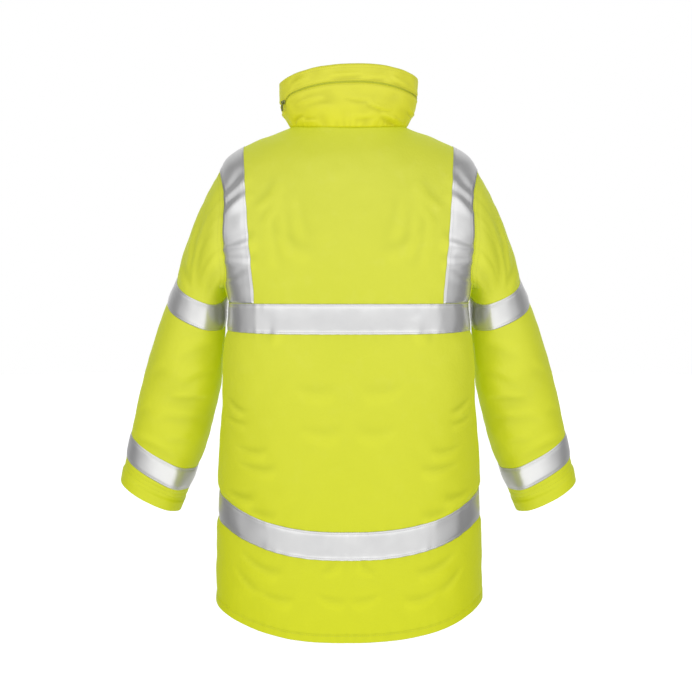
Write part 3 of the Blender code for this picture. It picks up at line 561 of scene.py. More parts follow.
def half_panel(facing, side, creases, seed, first_breadth=0.0):
    """The grids of one half of the back or the front.

    facing is 1 for the back and -1 for the front, side is 1 for the wearer's left.
    """
    angles, downs = yoke_columns(facing, first_breadth)
    skirt_downs = np.repeat(SKIRT_DOWNS[:, None], LAST + 1, axis=1)
    skirt_angles = np.repeat(angles[-1:], len(SKIRT_DOWNS), axis=0)
    if first_breadth:
        skirt_angles[:, 0] = angle_at_breadth(first_breadth, skirt_downs[:, 0])
    angles = np.vstack((angles, skirt_angles))
    downs = np.vstack((downs, skirt_downs))
    turned = side * (angles if facing > 0 else math.pi - angles)
    outer = form(BODY, turned, downs)
    normal = form_normal(BODY, turned, downs)
    x, z = outer[..., 0], outer[..., 2]
    relief = crease_relief(creases, PANEL_UNITS, np.abs(x), z, CREASE_SPREADS)
    # The depth of the creases sets the painted shade of the colour.
    hollow = -relief / CREASE_DEEP
    relief += soft_ripple(x, z, seed, *BACK_RIPPLE) + body_folds(turned, downs)
    for tape, bend, drop, reach in FACETS:
        beyond = np.maximum(np.abs(x) - bend, 0.0)
        relief -= drop * (1.0 - np.exp(-beyond / reach)) * near_tape(downs, tape, FACET_FADE)
    skirt = np.clip((downs - ARMPIT_DOWN) / SKIRT_STARTS, 0.0, 1.0)
    pull = skirt * stitch_pull(downs, BAND_LINES, *BAND_PULL)
    pull *= 1.0 + PUCKER * np.sin(2 * math.pi * x / PUCKER_STEP
                                  + PUCKER_SHIFT * np.sin(PUCKER_SHIFT_PITCH * x))
    side_pull = skirt * SIDE_SEAM_PULL * np.exp(-np.abs(x - x[:, LAST:]) / SIDE_SEAM_WIDTH)
    relief += pull - side_pull
    # Painted shade along the side seam and the stitch lines.
    hollow += (side_pull - SEAM_SHADE * pull) / CREASE_DEEP
    raised = np.zeros((len(outer), 1))
    raised[BAND_ROW:] = BAND_RAISE
    inner = outer - normal * WALL + normal * (relief * INNER_RELIEF)[..., None]
    outer = outer + normal * (relief + raised)[..., None]
    on_side = np.zeros(outer.shape[:2], dtype=bool)
    on_side[YOKE_ROWS:, LAST] = True
    on_side[0, NECK_CELLS:] = True
    for grid in (outer, inner):
        grid[on_side, 1] += facing * SEAM_GAP / 2
    return Cloth(outer, inner, normal, hollow)


def piece_of(name, points, faces, finish):
    """A mesh fixed to the jacket's body, with its material."""
    mesh = bpy.data.meshes.new(name)
    mesh.from_pydata(points.reshape(-1, 3).tolist(), [], faces.tolist())
    mesh.validate()
    mesh.materials.append(finish)
    piece = bpy.data.objects.new(name, mesh)
    bpy.context.scene.collection.objects.link(piece)
    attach(piece, "root")
    return piece


def closed_round(grid):
    """A grid whose last column is its first one again."""
    return np.concatenate((grid, grid[:, :1]), axis=1)


def wall_of_cloth(name, cloth, node, finish=hi_vis, free=(), wrap=False):
    """A closed wall between a piece's outer and inner grid, in place of a node.

    free names the edges, top or bottom, that no other piece meets: they are turned round.
    """
    outer, inner = cloth.outer, cloth.inner
    rows, columns = outer.shape[:2]
    half = np.linalg.norm(outer - inner, axis=-1, keepdims=True) / 2
    middle = (outer + inner) / 2
    for edge, at, inside in (("top", 0, 1), ("bottom", -1, -2)):
        if edge in free:
            middle[at] += unit(outer[at] - outer[inside]) * half[at] * EDGE_ROUND
    number = np.arange(rows * columns).reshape(rows, columns)
    number, across = (closed_round(number), closed_round(outer)) if wrap else (number, outer)
    out, mid, inn = [number + layer * rows * columns for layer in range(3)]
    u = distance_along(across.transpose(1, 0, 2)).T
    u -= u.mean(axis=1, keepdims=True)
    v = np.broadcast_to(distance_along(outer).mean(axis=1)[:, None], u.shape)
    flat = np.stack((u, v), axis=-1)         # place on the flat cloth, in metres
    faces, corners = [], []
    low, high = slice(None, -1), slice(1, None)
    sides = [((out,) * 4, ((low, low), (low, high), (high, high), (high, low))),
             ((inn,) * 4, ((low, low), (high, low), (high, high), (low, high)))]
    edges = [((0, high), (0, low)), ((-1, low), (-1, high))]
    edges += [] if wrap else [((low, 0), (high, 0)), ((high, -1), (low, -1))]
    for first, second in edges:
        sides += [(layers, (first, second, second, first))
                  for layers in ((out, out, mid, mid), (mid, mid, inn, inn))]
    for layers, places in sides:
        faces.append(np.stack([layer[at] for layer, at in zip(layers, places)],
                              axis=-1).reshape(-1, 4))
        corners.append(np.stack([flat[at] for at in places], axis=-2).reshape(-1, 4, 2))
    faces, corners = np.concatenate(faces), np.concatenate(corners)
    points = np.concatenate([grid.reshape(-1, 3) for grid in (outer, middle, inner)])
    used, renumbered = np.unique(faces, return_inverse=True)
    points, faces = points[used], renumbered.reshape(-1, 4)
    p = points[faces[:out[low, low].size]]
    outward = (outer - inner)[:-1, :out[low, low].shape[1]].reshape(-1, 3)
    if (np.cross(p[:, 2] - p[:, 0], p[:, 3] - p[:, 1]) * outward).sum() < 0:
        faces, corners = faces[:, ::-1], corners[:, ::-1]
    piece = piece_of(name, points, faces, finish)
    mesh = piece.data
    mesh.uv_layers.new(name="cloth").data.foreach_set(
        "uv", corners.reshape(-1).astype(np.float32))
    # Each outer point's hollow is kept on the mesh for the painted crease shade of its colour.
    if cloth.hollow is not None:
        deep = np.zeros(3 * rows * columns, dtype=np.float32)
        deep[:rows * columns] = np.clip(cloth.hollow, RIDGE, 1.0).reshape(-1)
        mesh.attributes.new("hollow", 'FLOAT', 'POINT').data.foreach_set("value", deep[used])
    mesh.shade_smooth()
    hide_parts(node)
    return piece


THREAD_YELLOW = (0.45, 0.47, 0.03, 1.0)
STITCH_PITCH = 0.0035
STITCH_LONG = 0.0027
STITCH_WIDE = 0.0006
STITCH_HIGH = 0.0004
TWIST = {"Scale": 500.0, "Distortion": 1.5}
TWIST_SHADE = 0.72
TWIST_RAISES = (0.4, 0.0001)
HEM_STITCH_ROW = BAND_ROW + 1        # the hem is sewn just below the top of its band


def darker(colour, share):
    """A share of a colour."""
    return tuple(part * share for part in colour[:3]) + (1.0,)


def thread_material(name, colour):
    """Twisted polyester thread: a fine slanting twist and a low gloss."""
    finish, tree, shader = new_material(name, {"Roughness": 0.45, "Sheen Weight": 0.30})
    place = add(tree, "TexCoord").outputs["Object"]
    twist = add(tree, "TexWave", {**TWIST, "Vector": place},
                bands_direction='DIAGONAL').outputs["Fac"]
    colours = ramp(tree, twist, ((0.0, darker(colour, TWIST_SHADE)), (1.0, colour)))
    fill(tree, shader, {"Base Color": colours, "Normal": bump(tree, twist, *TWIST_RAISES)})
    return finish


def small_parts(name, corners, sides, finish):
    """Many small parts of one build as one piece, from each one's corners and its sides."""
    corners, sides = np.concatenate(corners), np.array(sides)
    starts = np.arange(len(corners))[:, None, None] * corners.shape[1]
    return piece_of(name, corners, (starts + sides).reshape(-1, sides.shape[1]), finish)


def stitches(name, runs, finish):
    """Sewing thread: one short raised stitch after another along each run.

    A run is its points and the cloth's outward direction at each.
    """
    corners = []
    for line, out in runs:
        length = distance_along(line)
        count = max(1, int(length[-1] / STITCH_PITCH))
        middle = (np.arange(count) + 0.5) * length[-1] / count
        up = unit(read_along(middle, length, out))
        start, end = [read_along(middle + off, length, line) - up * STITCH_HIGH * 0.5
                      for off in (-STITCH_LONG / 2, STITCH_LONG / 2)]
        centre = read_along(middle, length, line)
        wide = unit(np.cross(end - start, up)) * STITCH_WIDE / 2
        corners.append(np.stack((start, end, centre + wide, centre - wide,
                                 centre + up * STITCH_HIGH, centre - up * STITCH_HIGH), axis=1))
    sides = ((0, 2, 4), (2, 1, 4), (1, 3, 4), (3, 0, 4), (2, 0, 5), (1, 2, 5), (3, 1, 5), (0, 3, 5))
    piece = small_parts(name, corners, sides, finish)
    piece.data.shade_smooth()
    return piece


thread_yellow = thread_material("sewing_thread", THREAD_YELLOW)
back_left = half_panel(1, 1, BACK_CREASES, 11)
back_right = half_panel(1, -1, BACK_CREASES, 11)
back = Cloth(*(np.concatenate((right[:, ::-1], left[:, 1:]), axis=1)
               for right, left in zip(back_right, back_left)))
back_piece = wall_of_cloth("back_panel", back, "back", free=("bottom",))
back_stitches = stitches("hem_stitches_back",
                         [(back.outer[HEM_STITCH_ROW], back.out[HEM_STITCH_ROW])], thread_yellow)


# ---- Front panels -------------------------------------------------------------------
# Two fronts of the same padded cloth, one on each side of the zip, sewn to the back
# along the shoulders and the sides.
FRONT_CREASES = (
    (170, -150, 105, -128, 4, 10, 1.8),
    (185, -205, 120, -190, 4, 9, 1.6),
    (205, -430, 110, -462, 12, 10, 2),
    (208, -490, 120, -515, 10, 9, 1.6),
    (200, -560, 140, -585, 6, 9, 1.4),
    (100, -440, 20, -465, 8, 12, 1),
    (200, -680, 120, -715, 10, 9, 1.4),
)
FRONT_EDGE_STITCH = 0.006    # from the zip opening to the line sewn beside it


def line_in(points, out, distance):
    """The line that lies so far along every column of a grid, and its directions."""
    along = distance_along(points)
    return [np.array([read_along(distance, along[:, column], grid[:, column])
                      for column in range(points.shape[1])]) for grid in (points, out)]


fronts, front_pieces, front_stitches = {}, {}, {}
for side, sign in (("left", 1), ("right", -1)):
    front = fronts[side] = half_panel(-1, sign, FRONT_CREASES, 12, ZIP_HALF_GAP)
    front_pieces[side] = wall_of_cloth("front_panel_" + side, front, "front_" + side,
                                       free=("bottom",))
    beside_zip = line_in(front.outer.transpose(1, 0, 2), front.out.transpose(1, 0, 2),
                         FRONT_EDGE_STITCH)
    hem = (front.outer[HEM_STITCH_ROW], front.out[HEM_STITCH_ROW])
    front_stitches[side] = stitches("stitches_front_" + side, [beside_zip, hem], thread_yellow)


# ---- Sleeves ------------------------------------------------------------------------
# Each sleeve is sewn into a tube and set into its armhole with a full cap, bends a
# little forward at the elbow, and ends in a stitched cuff of double cloth.
SLEEVE = (                   # rings: x, y and z of the middle, half width, half depth
    (0.2540, -0.030, -0.250, 0.0450, 0.093),   # top edge of the upper tape
    (0.2742, -0.050, -0.331, 0.0582, 0.088),
    (0.3010, -0.090, -0.440, 0.0695, 0.079),   # elbow
    (0.3370, -0.128, -0.555, 0.0670, 0.071),
    (0.3660, -0.155, -0.637, 0.0605, 0.064),   # cuff
)
SLEEVE_UPPER_TAPE = (0.000, 0.048)
SLEEVE_LOWER_TAPE = (0.323, 0.371)
CUFF_BAND = 0.400
CUFF_LINES = (0.382, 0.391)
SLEEVE_SQUARE = 0.85         # below one, the sleeve is squarer than an oval
TOP_SLANT = 0.15             # the rings slant up on their outer side: at the top,
CUFF_SLANT = 0.20            # and at the cuff
CUFF_LIFT = 0.19             # and up on their back side, most at the cuff
UNDERARM_TURN = math.radians(20.0)
ROUND_SLEEVE = 2 * YOKE_ROWS
CAP_ROWS = 36
CAP_SHARE = 6 / 22           # of the sleeve's length
SLEEVE_RADIUS = 0.075
SLEEVE_TURN = math.radians(SLEEVE_RADIUS)        # length of one degree round the sleeve
SLEEVE_UNITS = np.array((SLEEVE_TURN, 0.001, SLEEVE_TURN, 0.001, 0.001, 0.001, 0.001))
# depth of a sleeve crease whose cloth is painted darkest
SLEEVE_CREASE_DEEP = 0.0036
SLEEVE_RIPPLE = (14, 0.026, 0.0004)
SLEEVE_LINE_PULL = (0.0012, 0.006)       # depth and width of the pull of a stitch line
CAP_PULL = (0.0014, 0.004)
ELBOW_FOLDS = 0.0013         # height of the folds round the elbow, tallest at
ELBOW_AT, ELBOW_REACH = 0.58, 0.16       # that share of the length
ELBOW_PITCH, ELBOW_LEAN = 30.0, 1.8
CAP_ARRIVES = 0.9            # how straight the cap runs into the sleeve
CAP_LINES = 0.009            # the two stitch lines round the armhole stand so far apart
ARMHOLE_STITCH = 0.002
TAPE_CORNER = 0.0058         # the stiff tapes square off the sleeve's inner back corner
TAPE_CORNER_TURN = math.radians(128.0)
TAPE_CORNER_WIDTH = math.radians(26.0)
TAPE_CORNER_FADE = 0.014
BODY_SIDE = 0.0046           # the sleeve swells towards the body below the armpit
BODY_SIDE_TURN = math.radians(168.0)
BODY_SIDE_SPAN = (-0.010, 0.150)
# Way the sleeve leaves the armhole, at the shoulder, the back, the armpit, the front.
LEAVE = np.array(((0.50, -0.05, -0.86), (0.80, 0.16, -0.58),
                  (1.00, 0.00, -0.12), (0.80, -0.30, -0.52)))
# Folds of the sleeve: from turn, along to turn, along, then bow, half width and height as
# for the back; turn is in degrees from the outermost line round by the back, along is in
# millimetres from the upper tape's top edge.
SLEEVE_FOLDS = (
    (30, -150, 70, -30, 6, 10, 2.2),          # fan below the shoulder
    (62, -130, 88, -20, 4, 8, 1.8),
    (105, -110, 112, -10, 3, 8, 1.6),
    (20, -40, 80, -12, 4, 9, 2.2),            # puff over the upper tape
    (150, 62, 84, 104, 8, 9, 1.6),            # drag from the underarm
    (160, 110, 96, 150, 10, 8, 2),
    (155, 165, 88, 190, 8, 7, 2.2),           # inside of the elbow
    (70, 130, 34, 166, 6, 10, 1.2),
    (150, 205, 70, 246, 8, 9, 1.8),
    (140, 262, 96, 276, 6, 7, 1.4),
    (60, 232, 22, 262, 6, 10, 1.2),
    (122, 296, 30, 308, 4, 8, 2.2),           # puff over the lower tape
    (-150, 100, -70, 140, 8, 10, 2.4),        # the same on the front
    (-150, 165, -60, 190, 8, 10, 2.6),
    (-150, 220, -50, 255, 8, 10, 2.6),
    (-60, -120, -85, -20, 4, 9, 2),
)


def sleeve_ring(at):
    """Points of one section, first the outermost, then round by the back; its direction."""
    here, ahead, behind = [smooth(RINGS_ALONG, SLEEVE, place) for place in
                           (at, min(at + 1e-3, SLEEVE_LENGTH), max(at - 1e-3, 0.0))]
    run = unit(ahead[:3] - behind[:3])
    lateral = unit(np.array((1.0, 0.0, 0.0)) - run * run[0])
    rear = np.cross(run, lateral)
    rear = rear if rear[1] > 0 else -rear
    turn = ROUND_TURNS - UNDERARM_TURN * (1 - np.cos(ROUND_TURNS)) / 2
    wide, deep = [half * np.sign(part) * np.abs(part) ** SLEEVE_SQUARE
                  for half, part in zip(here[3:], (np.cos(turn), np.sin(turn)))]
    share = at / SLEEVE_LENGTH
    slant = TOP_SLANT + (CUFF_SLANT - TOP_SLANT) * share
    return (here[:3] + wide[:, None] * (lateral - slant * run)
            + deep[:, None] * (rear - CUFF_LIFT * share * run)), run


RINGS_ALONG = distance_along(np.array(SLEEVE)[:, :3])
SLEEVE_LENGTH = RINGS_ALONG[-1]
ROUND_TURNS = np.arange(ROUND_SLEEVE) * 2 * math.pi / ROUND_SLEEVE
SLEEVE_ALONG = filled_between(
    stitched(SLEEVE_UPPER_TAPE) + stitched(SLEEVE_LOWER_TAPE)
    + tuple(line + off for line in CUFF_LINES for off in (-0.001, 0.0, 0.001))
    + (CUFF_BAND - 0.0008, CUFF_BAND, SLEEVE_LENGTH - 0.001, SLEEVE_LENGTH), ROW_STEP)


def sleeve_row(along):
    """Number of the sleeve's row at a distance along it."""
    return CAP_ROWS + int(np.argmin(np.abs(SLEEVE_ALONG - along)))


def sleeve_relief(outer, reach):
    """All the heights of a sleeve, and how hollow it is at each point, which sets its painted
    crease shade.
    """
    turn = ROUND_TURNS
    coarse = np.interp(np.arange(len(outer)), (0, CAP_ROWS, len(outer) - 1),
                       (0.0, CAP_SHARE, 1.0))[:, None]
    relief = (ELBOW_FOLDS * np.exp(-((coarse - ELBOW_AT) / ELBOW_REACH) ** 2)
              * np.sin(ELBOW_PITCH * coarse + ELBOW_LEAN * np.cos(turn))
              * (0.6 - 0.4 * np.cos(turn)))
    cap = -np.outer(np.linspace(1.0, 0.0, CAP_ROWS, endpoint=False), reach)
    along = np.concatenate((cap, np.repeat(SLEEVE_ALONG[:, None], len(turn), axis=1)))
    relief = relief + crease_relief(SLEEVE_FOLDS, SLEEVE_UNITS, turn * SLEEVE_RADIUS, along,
                                    around=2 * math.pi * SLEEVE_RADIUS)
    # The depth of the folds sets the painted shade of the sleeve's colour.
    hollow = -relief / SLEEVE_CREASE_DEEP
    relief += soft_ripple(outer[..., 1] + outer[..., 0], outer[..., 2], 21, *SLEEVE_RIPPLE)
    relief += stitch_pull(along, SLEEVE_UPPER_TAPE + SLEEVE_LOWER_TAPE + CUFF_LINES,
                          *SLEEVE_LINE_PULL)
    corner = TAPE_CORNER * np.exp(-((turn - TAPE_CORNER_TURN) / TAPE_CORNER_WIDTH) ** 2)
    for tape in (SLEEVE_UPPER_TAPE, SLEEVE_LOWER_TAPE):
        relief += corner * near_tape(along, tape, TAPE_CORNER_FADE)
    low, high = BODY_SIDE_SPAN
    swell = np.clip((along - low) * (high - along) * 4.0 / (high - low) ** 2, 0.0, 1.0)
    relief += BODY_SIDE * swell * np.exp(-((turn - BODY_SIDE_TURN) / TAPE_CORNER_WIDTH) ** 2)
    relief += stitch_pull(along - along[:1], (0.0, CAP_LINES), *CAP_PULL)
    relief[0] = 0.0
    return relief, hollow


def sleeve_grid(back, front):
    """The grids of the left sleeve, from the armhole down."""
    edges = []
    for behind, before in zip(back[:3], front[:3]):
        rear, fore = behind[:YOKE_ROWS + 1, LAST], before[:YOKE_ROWS + 1, LAST]
        loop = np.concatenate((rear[:-1], fore[:0:-1]))
        loop[0], loop[YOKE_ROWS] = (rear[0] + fore[0]) / 2, (rear[-1] + fore[-1]) / 2
        edges.append(loop)
    away = unit(np.cross(unit(np.roll(edges[0], -1, axis=0) - np.roll(edges[0], 1, axis=0)),
                         edges[2])) * SEAM_GAP
    away *= 1.0 if away[0, 0] > 0 else -1.0
    start = edges[0] + away
    end, run = sleeve_ring(0.0)
    toward = np.cos(ROUND_TURNS), np.sin(ROUND_TURNS)
    weights = [np.clip(side, 0, 1) ** 2 for side in toward + (-toward[0], -toward[1])]
    reach = np.linalg.norm(end - start, axis=1, keepdims=True)
    leave = unit(np.stack(weights, axis=1) @ LEAVE) * reach
    arrive = run * reach * CAP_ARRIVES
    rows = [start]
    for step in range(1, CAP_ROWS):
        parts = hermite(step / CAP_ROWS)
        rows.append(parts[0] * start + parts[1] * leave + parts[2] * end + parts[3] * arrive)
    outer = np.array(rows + [sleeve_ring(at)[0] for at in SLEEVE_ALONG])
    around = np.roll(outer, -1, axis=1) - np.roll(outer, 1, axis=1)
    normal = unit(np.cross(around, np.gradient(outer, axis=0)))
    if (normal * (outer - outer.mean(axis=1, keepdims=True))).sum() < 0:
        normal = -normal
    relief, hollow = sleeve_relief(outer, reach[:, 0])
    inner = outer - normal * WALL + normal * (relief * INNER_RELIEF)[..., None]
    inner[0] = edges[1] + away
    raised = np.zeros((len(outer), 1))
    raised[sleeve_row(CUFF_BAND):] = BAND_RAISE
    return Cloth(outer + normal * (relief + raised)[..., None], inner, normal, hollow)


left_sleeve = sleeve_grid(back_left, fronts["left"])
mirrored = [grid * np.array((-1.0, 1.0, 1.0)) for grid in left_sleeve[:3]]
sleeves = {"left": left_sleeve, "right": Cloth(*mirrored, left_sleeve.hollow)}
sleeve_pieces, sleeve_stitches = {}, {}
for side, sleeve in sleeves.items():
    sleeve_pieces[side] = wall_of_cloth("sleeve_cloth_" + side, sleeve, "sleeve_" + side,
                                        free=("bottom",), wrap=True)
    face, out = closed_round(sleeve.outer), closed_round(sleeve.out)
    lines = [line_in(face, out, at) for at in (ARMHOLE_STITCH, CAP_LINES)]
    lines += [(face[sleeve_row(at)], out[sleeve_row(at)]) for at in CUFF_LINES]
    sleeve_stitches[side] = stitches("stitches_sleeve_" + side, lines, thread_yellow)


# ---- Retroreflective tapes ----------------------------------------------------------
# Silver tape 50 mm wide, glass beads on a soft backing, sewn down 3.5 mm inside both
# edges. It runs round the chest, round above the hem, over each shoulder and twice
# round each sleeve, and puckers a little where the thread pulls it.
TAPE_THICK = 0.0008
TAPE_GROOVE = 0.7            # depth of its stitch grooves, as a share of its thickness
TAPE_SILVER = (0.735, 0.735, 0.735, 1.0)
TAPE_GREY = (0.700, 0.700, 0.703, 1.0)
THREAD_GREY = (0.42, 0.42, 0.42, 1.0)
TAPE_METAL = 0.66
SLEEVE_METAL = 0.58          # the arms rub their tapes duller
TAPE_ROUGH = (0.28, 0.36)
HANDLING_MARKS, BEADS = (30.0, 5.0), (900.0, 2.0)
BEADS_RAISE = (0.12, 0.0003)


def tape_material(name, metallic):
    """Beaded silver: a metal sheen broken up by fine grain and handling marks."""
    finish, tree, shader = new_material(name, {"Metallic": metallic})
    marks = noise(tree, *HANDLING_MARKS)
    fill(tree, shader, {
        "Base Color": ramp(tree, marks, ((0.35, TAPE_GREY), (0.65, TAPE_SILVER))),
        "Roughness": spread(tree, marks, 0.0, 1.0, *TAPE_ROUGH),
        "Normal": bump(tree, noise(tree, *BEADS), *BEADS_RAISE)})
    return finish


silver_tape = tape_material("reflective_tape", TAPE_METAL)
sleeve_silver = tape_material("reflective_sleeve_tape", SLEEVE_METAL)
thread_grey = thread_material("tape_thread", THREAD_GREY)
CARRIERS = ("back", "front_left", "front_right", "sleeve_left", "sleeve_right")
sewn = {carrier: [] for carrier in CARRIERS}
thread_runs = {carrier: [] for carrier in CARRIERS}


def sew_tape(carrier, name, cloth, rows, columns, node, finish=silver_tape, wrap=False,
             sewn_along="rows"):
    """A tape on a panel: the panel's points moved out, with its stitch lines pulled in."""
    part = slice(rows[0], rows[1] + 1), slice(columns[0], columns[1] + 1)
    ground, out = cloth.outer[part], cloth.out[part]
    height = np.full(ground.shape[:2], SEAM_GAP + TAPE_THICK)
    if sewn_along == "rows":
        down = distance_along(ground[:, ground.shape[1] // 2])
        height -= TAPE_THICK * TAPE_GROOVE * sum(
            np.exp(-((down - line) / STITCH_HALF) ** 2)
            for line in (STITCH_IN, down[-1] - STITCH_IN))[:, None]
    else:
        height[:, (1, -2)] -= TAPE_THICK * TAPE_GROOVE
    face = ground + out * height[..., None]
    sewn[carrier].append(wall_of_cloth(name, Cloth(face, ground + out * SEAM_GAP, out, None),
                                       node, finish, wrap=wrap))
    if wrap:
        face, out = closed_round(face), closed_round(out)
    if sewn_along == "rows":
        thread_runs[carrier] += [(face[at], out[at]) for at in (2, -3)]
    else:
        thread_runs[carrier] += [(face[:, at], out[:, at]) for at in (1, -2)]


STRAP_ROWS = (0, row_at(CHEST_TAPE[0] - 2 * SEAM_GAP))
for place, rows in (("chest", CHEST_ROWS), ("hem", HEM_ROWS)):
    sew_tape("back", place + "_tape_back", back, rows, (0, 2 * LAST), "back_%s_tape" % place)
for side, cloth in fronts.items():
    for place, rows in (("chest", CHEST_ROWS), ("hem", HEM_ROWS)):
        sew_tape("front_" + side, place + "_tape_" + side, cloth, rows, (0, LAST),
                 "front_%s_tape_%s" % (place, side))
    sew_tape("front_" + side, "strap_front_" + side, cloth, STRAP_ROWS, (STRAP_FIRST, STRAP_LAST),
             "strap_tape_front_" + side, sewn_along="columns")
for side, columns in (("left", (LAST + STRAP_FIRST, LAST + STRAP_LAST)),
                      ("right", (LAST - STRAP_LAST, LAST - STRAP_FIRST))):
    sew_tape("back", "strap_back_" + side, back, STRAP_ROWS, columns,
             "strap_tape_back_" + side, sewn_along="columns")
for side, cloth in sleeves.items():
    for place, tape in (("upper", SLEEVE_UPPER_TAPE), ("lower", SLEEVE_LOWER_TAPE)):
        node = "sleeve_tape_%s_%s" % (place, side)
        sew_tape("sleeve_" + side, node + "_silver", cloth, [sleeve_row(at) for at in tape],
                 (0, ROUND_SLEEVE), node, sleeve_silver, wrap=True)
for carrier, runs in thread_runs.items():
    sewn[carrier].append(stitches("tape_stitches_" + carrier, runs, thread_grey))


# ---- Collar -------------------------------------------------------------------------
# A stand collar of double cloth with the hood rolled up inside it, so it is thick and
# soft. A zip round its back lets the hood out; above the zip is a smooth top band.
COLLAR = (
    Section(0.00, 0.0985, 0.0785, 0.0885, 0.0184, 0.0124, -0.0446, 2.0),
    Section(0.20, 0.1060, 0.0840, 0.0930, 0.0310, 0.0310, -0.0250, 2.1),
    Section(0.45, 0.1130, 0.0880, 0.1000, 0.0450, 0.0570, 0.0020, 2.1),
    Section(0.72, 0.1165, 0.0885, 0.1050, 0.0640, 0.0850, 0.0310, 2.3),
    Section(1.00, 0.1175, 0.0860, 0.1080, 0.0945, 0.1120, 0.0640, 2.3),
)
COLLAR_WALL = 0.008
COLLAR_LEAN = 0.035
COLLAR_TALL = 0.095
COLLAR_RADIUS = 0.100
COLLAR_TURN = math.radians(COLLAR_RADIUS)        # length of one degree round the collar
COLLAR_UNITS = np.array((COLLAR_TURN, COLLAR_TALL, COLLAR_TURN, COLLAR_TALL, 0.001, 0.001, 0.001))
COLLAR_ZIP = 0.72
COLLAR_ZIP_HALF = 0.016
COLLAR_SEAM_HALF = 0.0018
COLLAR_ZIP_ENDS = (math.radians(-100.0), math.radians(76.0))
COLLAR_ZIP_CLOSES = math.radians(6.0)
ZIP_DIP = 0.115              # the zip turns down so far at its left end
ZIP_DIP_ANGLE = math.radians(70.0)
ZIP_DIP_WIDTHS = (math.radians(9.0), math.radians(25.0))
COLLAR_CELLS = 252
COLLAR_LOWER_ROWS = 28
COLLAR_UPPER_ROWS = 12
COLLAR_FOOT_CLEAR = 0.0004
# depth of a collar wrinkle whose cloth is painted darkest
COLLAR_CREASE_DEEP = 0.0014
COLLAR_RIPPLE = (12, 0.020, 0.0005)         # number of waves, the shortest, their height
FOOT_GATHER = 0.0014         # how far the neck seam gathers the collar's foot
GATHERS_ROUND = 46.0
SEAM_FLAT = 8.0              # the wrinkles reach full height at an eighth of a band
GATHER_FADE = 0.006
FRONT_FLAT = 0.2             # angle beside the front zip over which the wrinkles die out
LIP_CURL = 0.0010            # how far the edges beside the hood zip curl in
LIP_WIDTH = 0.0024
LIP_ROLL = 0.0008            # and stand out again in a soft roll, further off
LIP_ROLL_AT = 0.0050
COLLAR_STITCH = 0.0028       # from the hood zip's lips to the lines sewn beside them
COLLAR_EDGE_STITCH = 0.004
# The collar is the body's cloth with a darker base and more painted glow, so that its shaded foot
# reads as bright as its face.
COLLAR_YELLOW = (0.500, 0.495, 0.052, 1.0)
COLLAR_SHADE = (0.480, 0.480, 0.046, 1.0)
COLLAR_WORN = (0.515, 0.510, 0.078, 1.0)
# painted shade and top light of the collar: heights of its deepest and palest colour
COLLAR_TOP_LIGHT_SPAN = (-0.030, 0.060)
COLLAR_GLOW = (0.60, 0.58, 0.00, 1.0)
COLLAR_GLOWS = 0.40          # painted light: the collar glows more than the body, so its shaded foot stays bright
# Wrinkles of the collar: from angle, up to angle, up, then bow, half width and height in
# millimetres; angle is in degrees from the centre back to the wearer's left, up a share of
# the collar's height.
COLLAR_CREASES = (
    (-14, 0.44, -40, 0.32, 3, 3.4, 3.6),
    (4, 0.52, -18, 0.47, 3, 3, 2.4),
    (-28, 0.28, -62, 0.1, 4, 4, 4.5),
    (-40, 0.2, -60, 0.03, 3, 3.4, 4.2),
    (-62, 0.42, -96, 0.3, 4, 4, 3.3),
    (-2, 0.2, -26, 0.25, 3, 3.7, 1.5),
    (12, 0.34, 40, 0.3, 3, 3.7, 1.6),
    (18, 0.5, 50, 0.46, 3, 3, 1.8),
    (42, 0.17, 60, 0.03, 3, 3.4, 4.2),
    (28, 0.1, 54, 0.06, 2, 3, 2.4),
    (66, 0.4, 92, 0.28, 4, 4, 3),
    (14, 0.86, -10, 0.88, 2, 3.4, 3),         # in the top band
    (-8, 0.83, -30, 0.87, 2, 3.4, 2.3),
    (-34, 0.86, -56, 0.82, 2, 3.4, 3.3),
    (30, 0.87, 54, 0.83, 2, 3.4, 2.1),
    (104, 0.46, 140, 0.34, 4, 4, 3),          # the same on the front
    (118, 0.24, 160, 0.14, 4, 4, 3.3),
    (-104, 0.44, -144, 0.3, 4, 4, 3.3),
    (-122, 0.22, -158, 0.12, 4, 4, 2.7),
    (112, 0.86, 150, 0.83, 2, 3.4, 2.1),
    (-110, 0.84, -146, 0.87, 2, 3.4, 2.1),
)


def neck_seam(angles):
    """Points of the neck seam, on the straight stretches between the body's columns."""
    behind = yoke_columns(1, 0.0)[0][0, :NECK_CELLS + 1]
    ahead = math.pi - yoke_columns(-1, ZIP_HALF_GAP)[0][0, :NECK_CELLS + 1]
    knots = np.concatenate((behind[:-1], ahead[::-1]))
    seam = read_along(np.abs(angles), knots, form(BODY, knots, 0.0))
    seam[:, 0] *= np.sign(angles)
    return seam


def collar_point(angle, up):
    """Point of the collar's outer face, with its lean to the wearer's left."""
    point = form(COLLAR, angle, up)
    point[..., 2] -= COLLAR_LEAN * point[..., 0] * up
    return point


def collar_zip(angle):
    """Height of the hood zip up the collar: it turns down at its left end."""
    away = angle - ZIP_DIP_ANGLE
    return COLLAR_ZIP - ZIP_DIP * np.exp(-(away / np.where(away < 0, *ZIP_DIP_WIDTHS)) ** 2)


def collar_zip_half(angle):
    """Half the opening for the hood zip: wide between its ends, closed beyond."""
    inside = np.minimum(angle - COLLAR_ZIP_ENDS[0], COLLAR_ZIP_ENDS[1] - angle)
    share = np.clip(inside / COLLAR_ZIP_CLOSES + 0.5, 0.0, 1.0)
    return COLLAR_SEAM_HALF + (COLLAR_ZIP_HALF - COLLAR_SEAM_HALF) * share


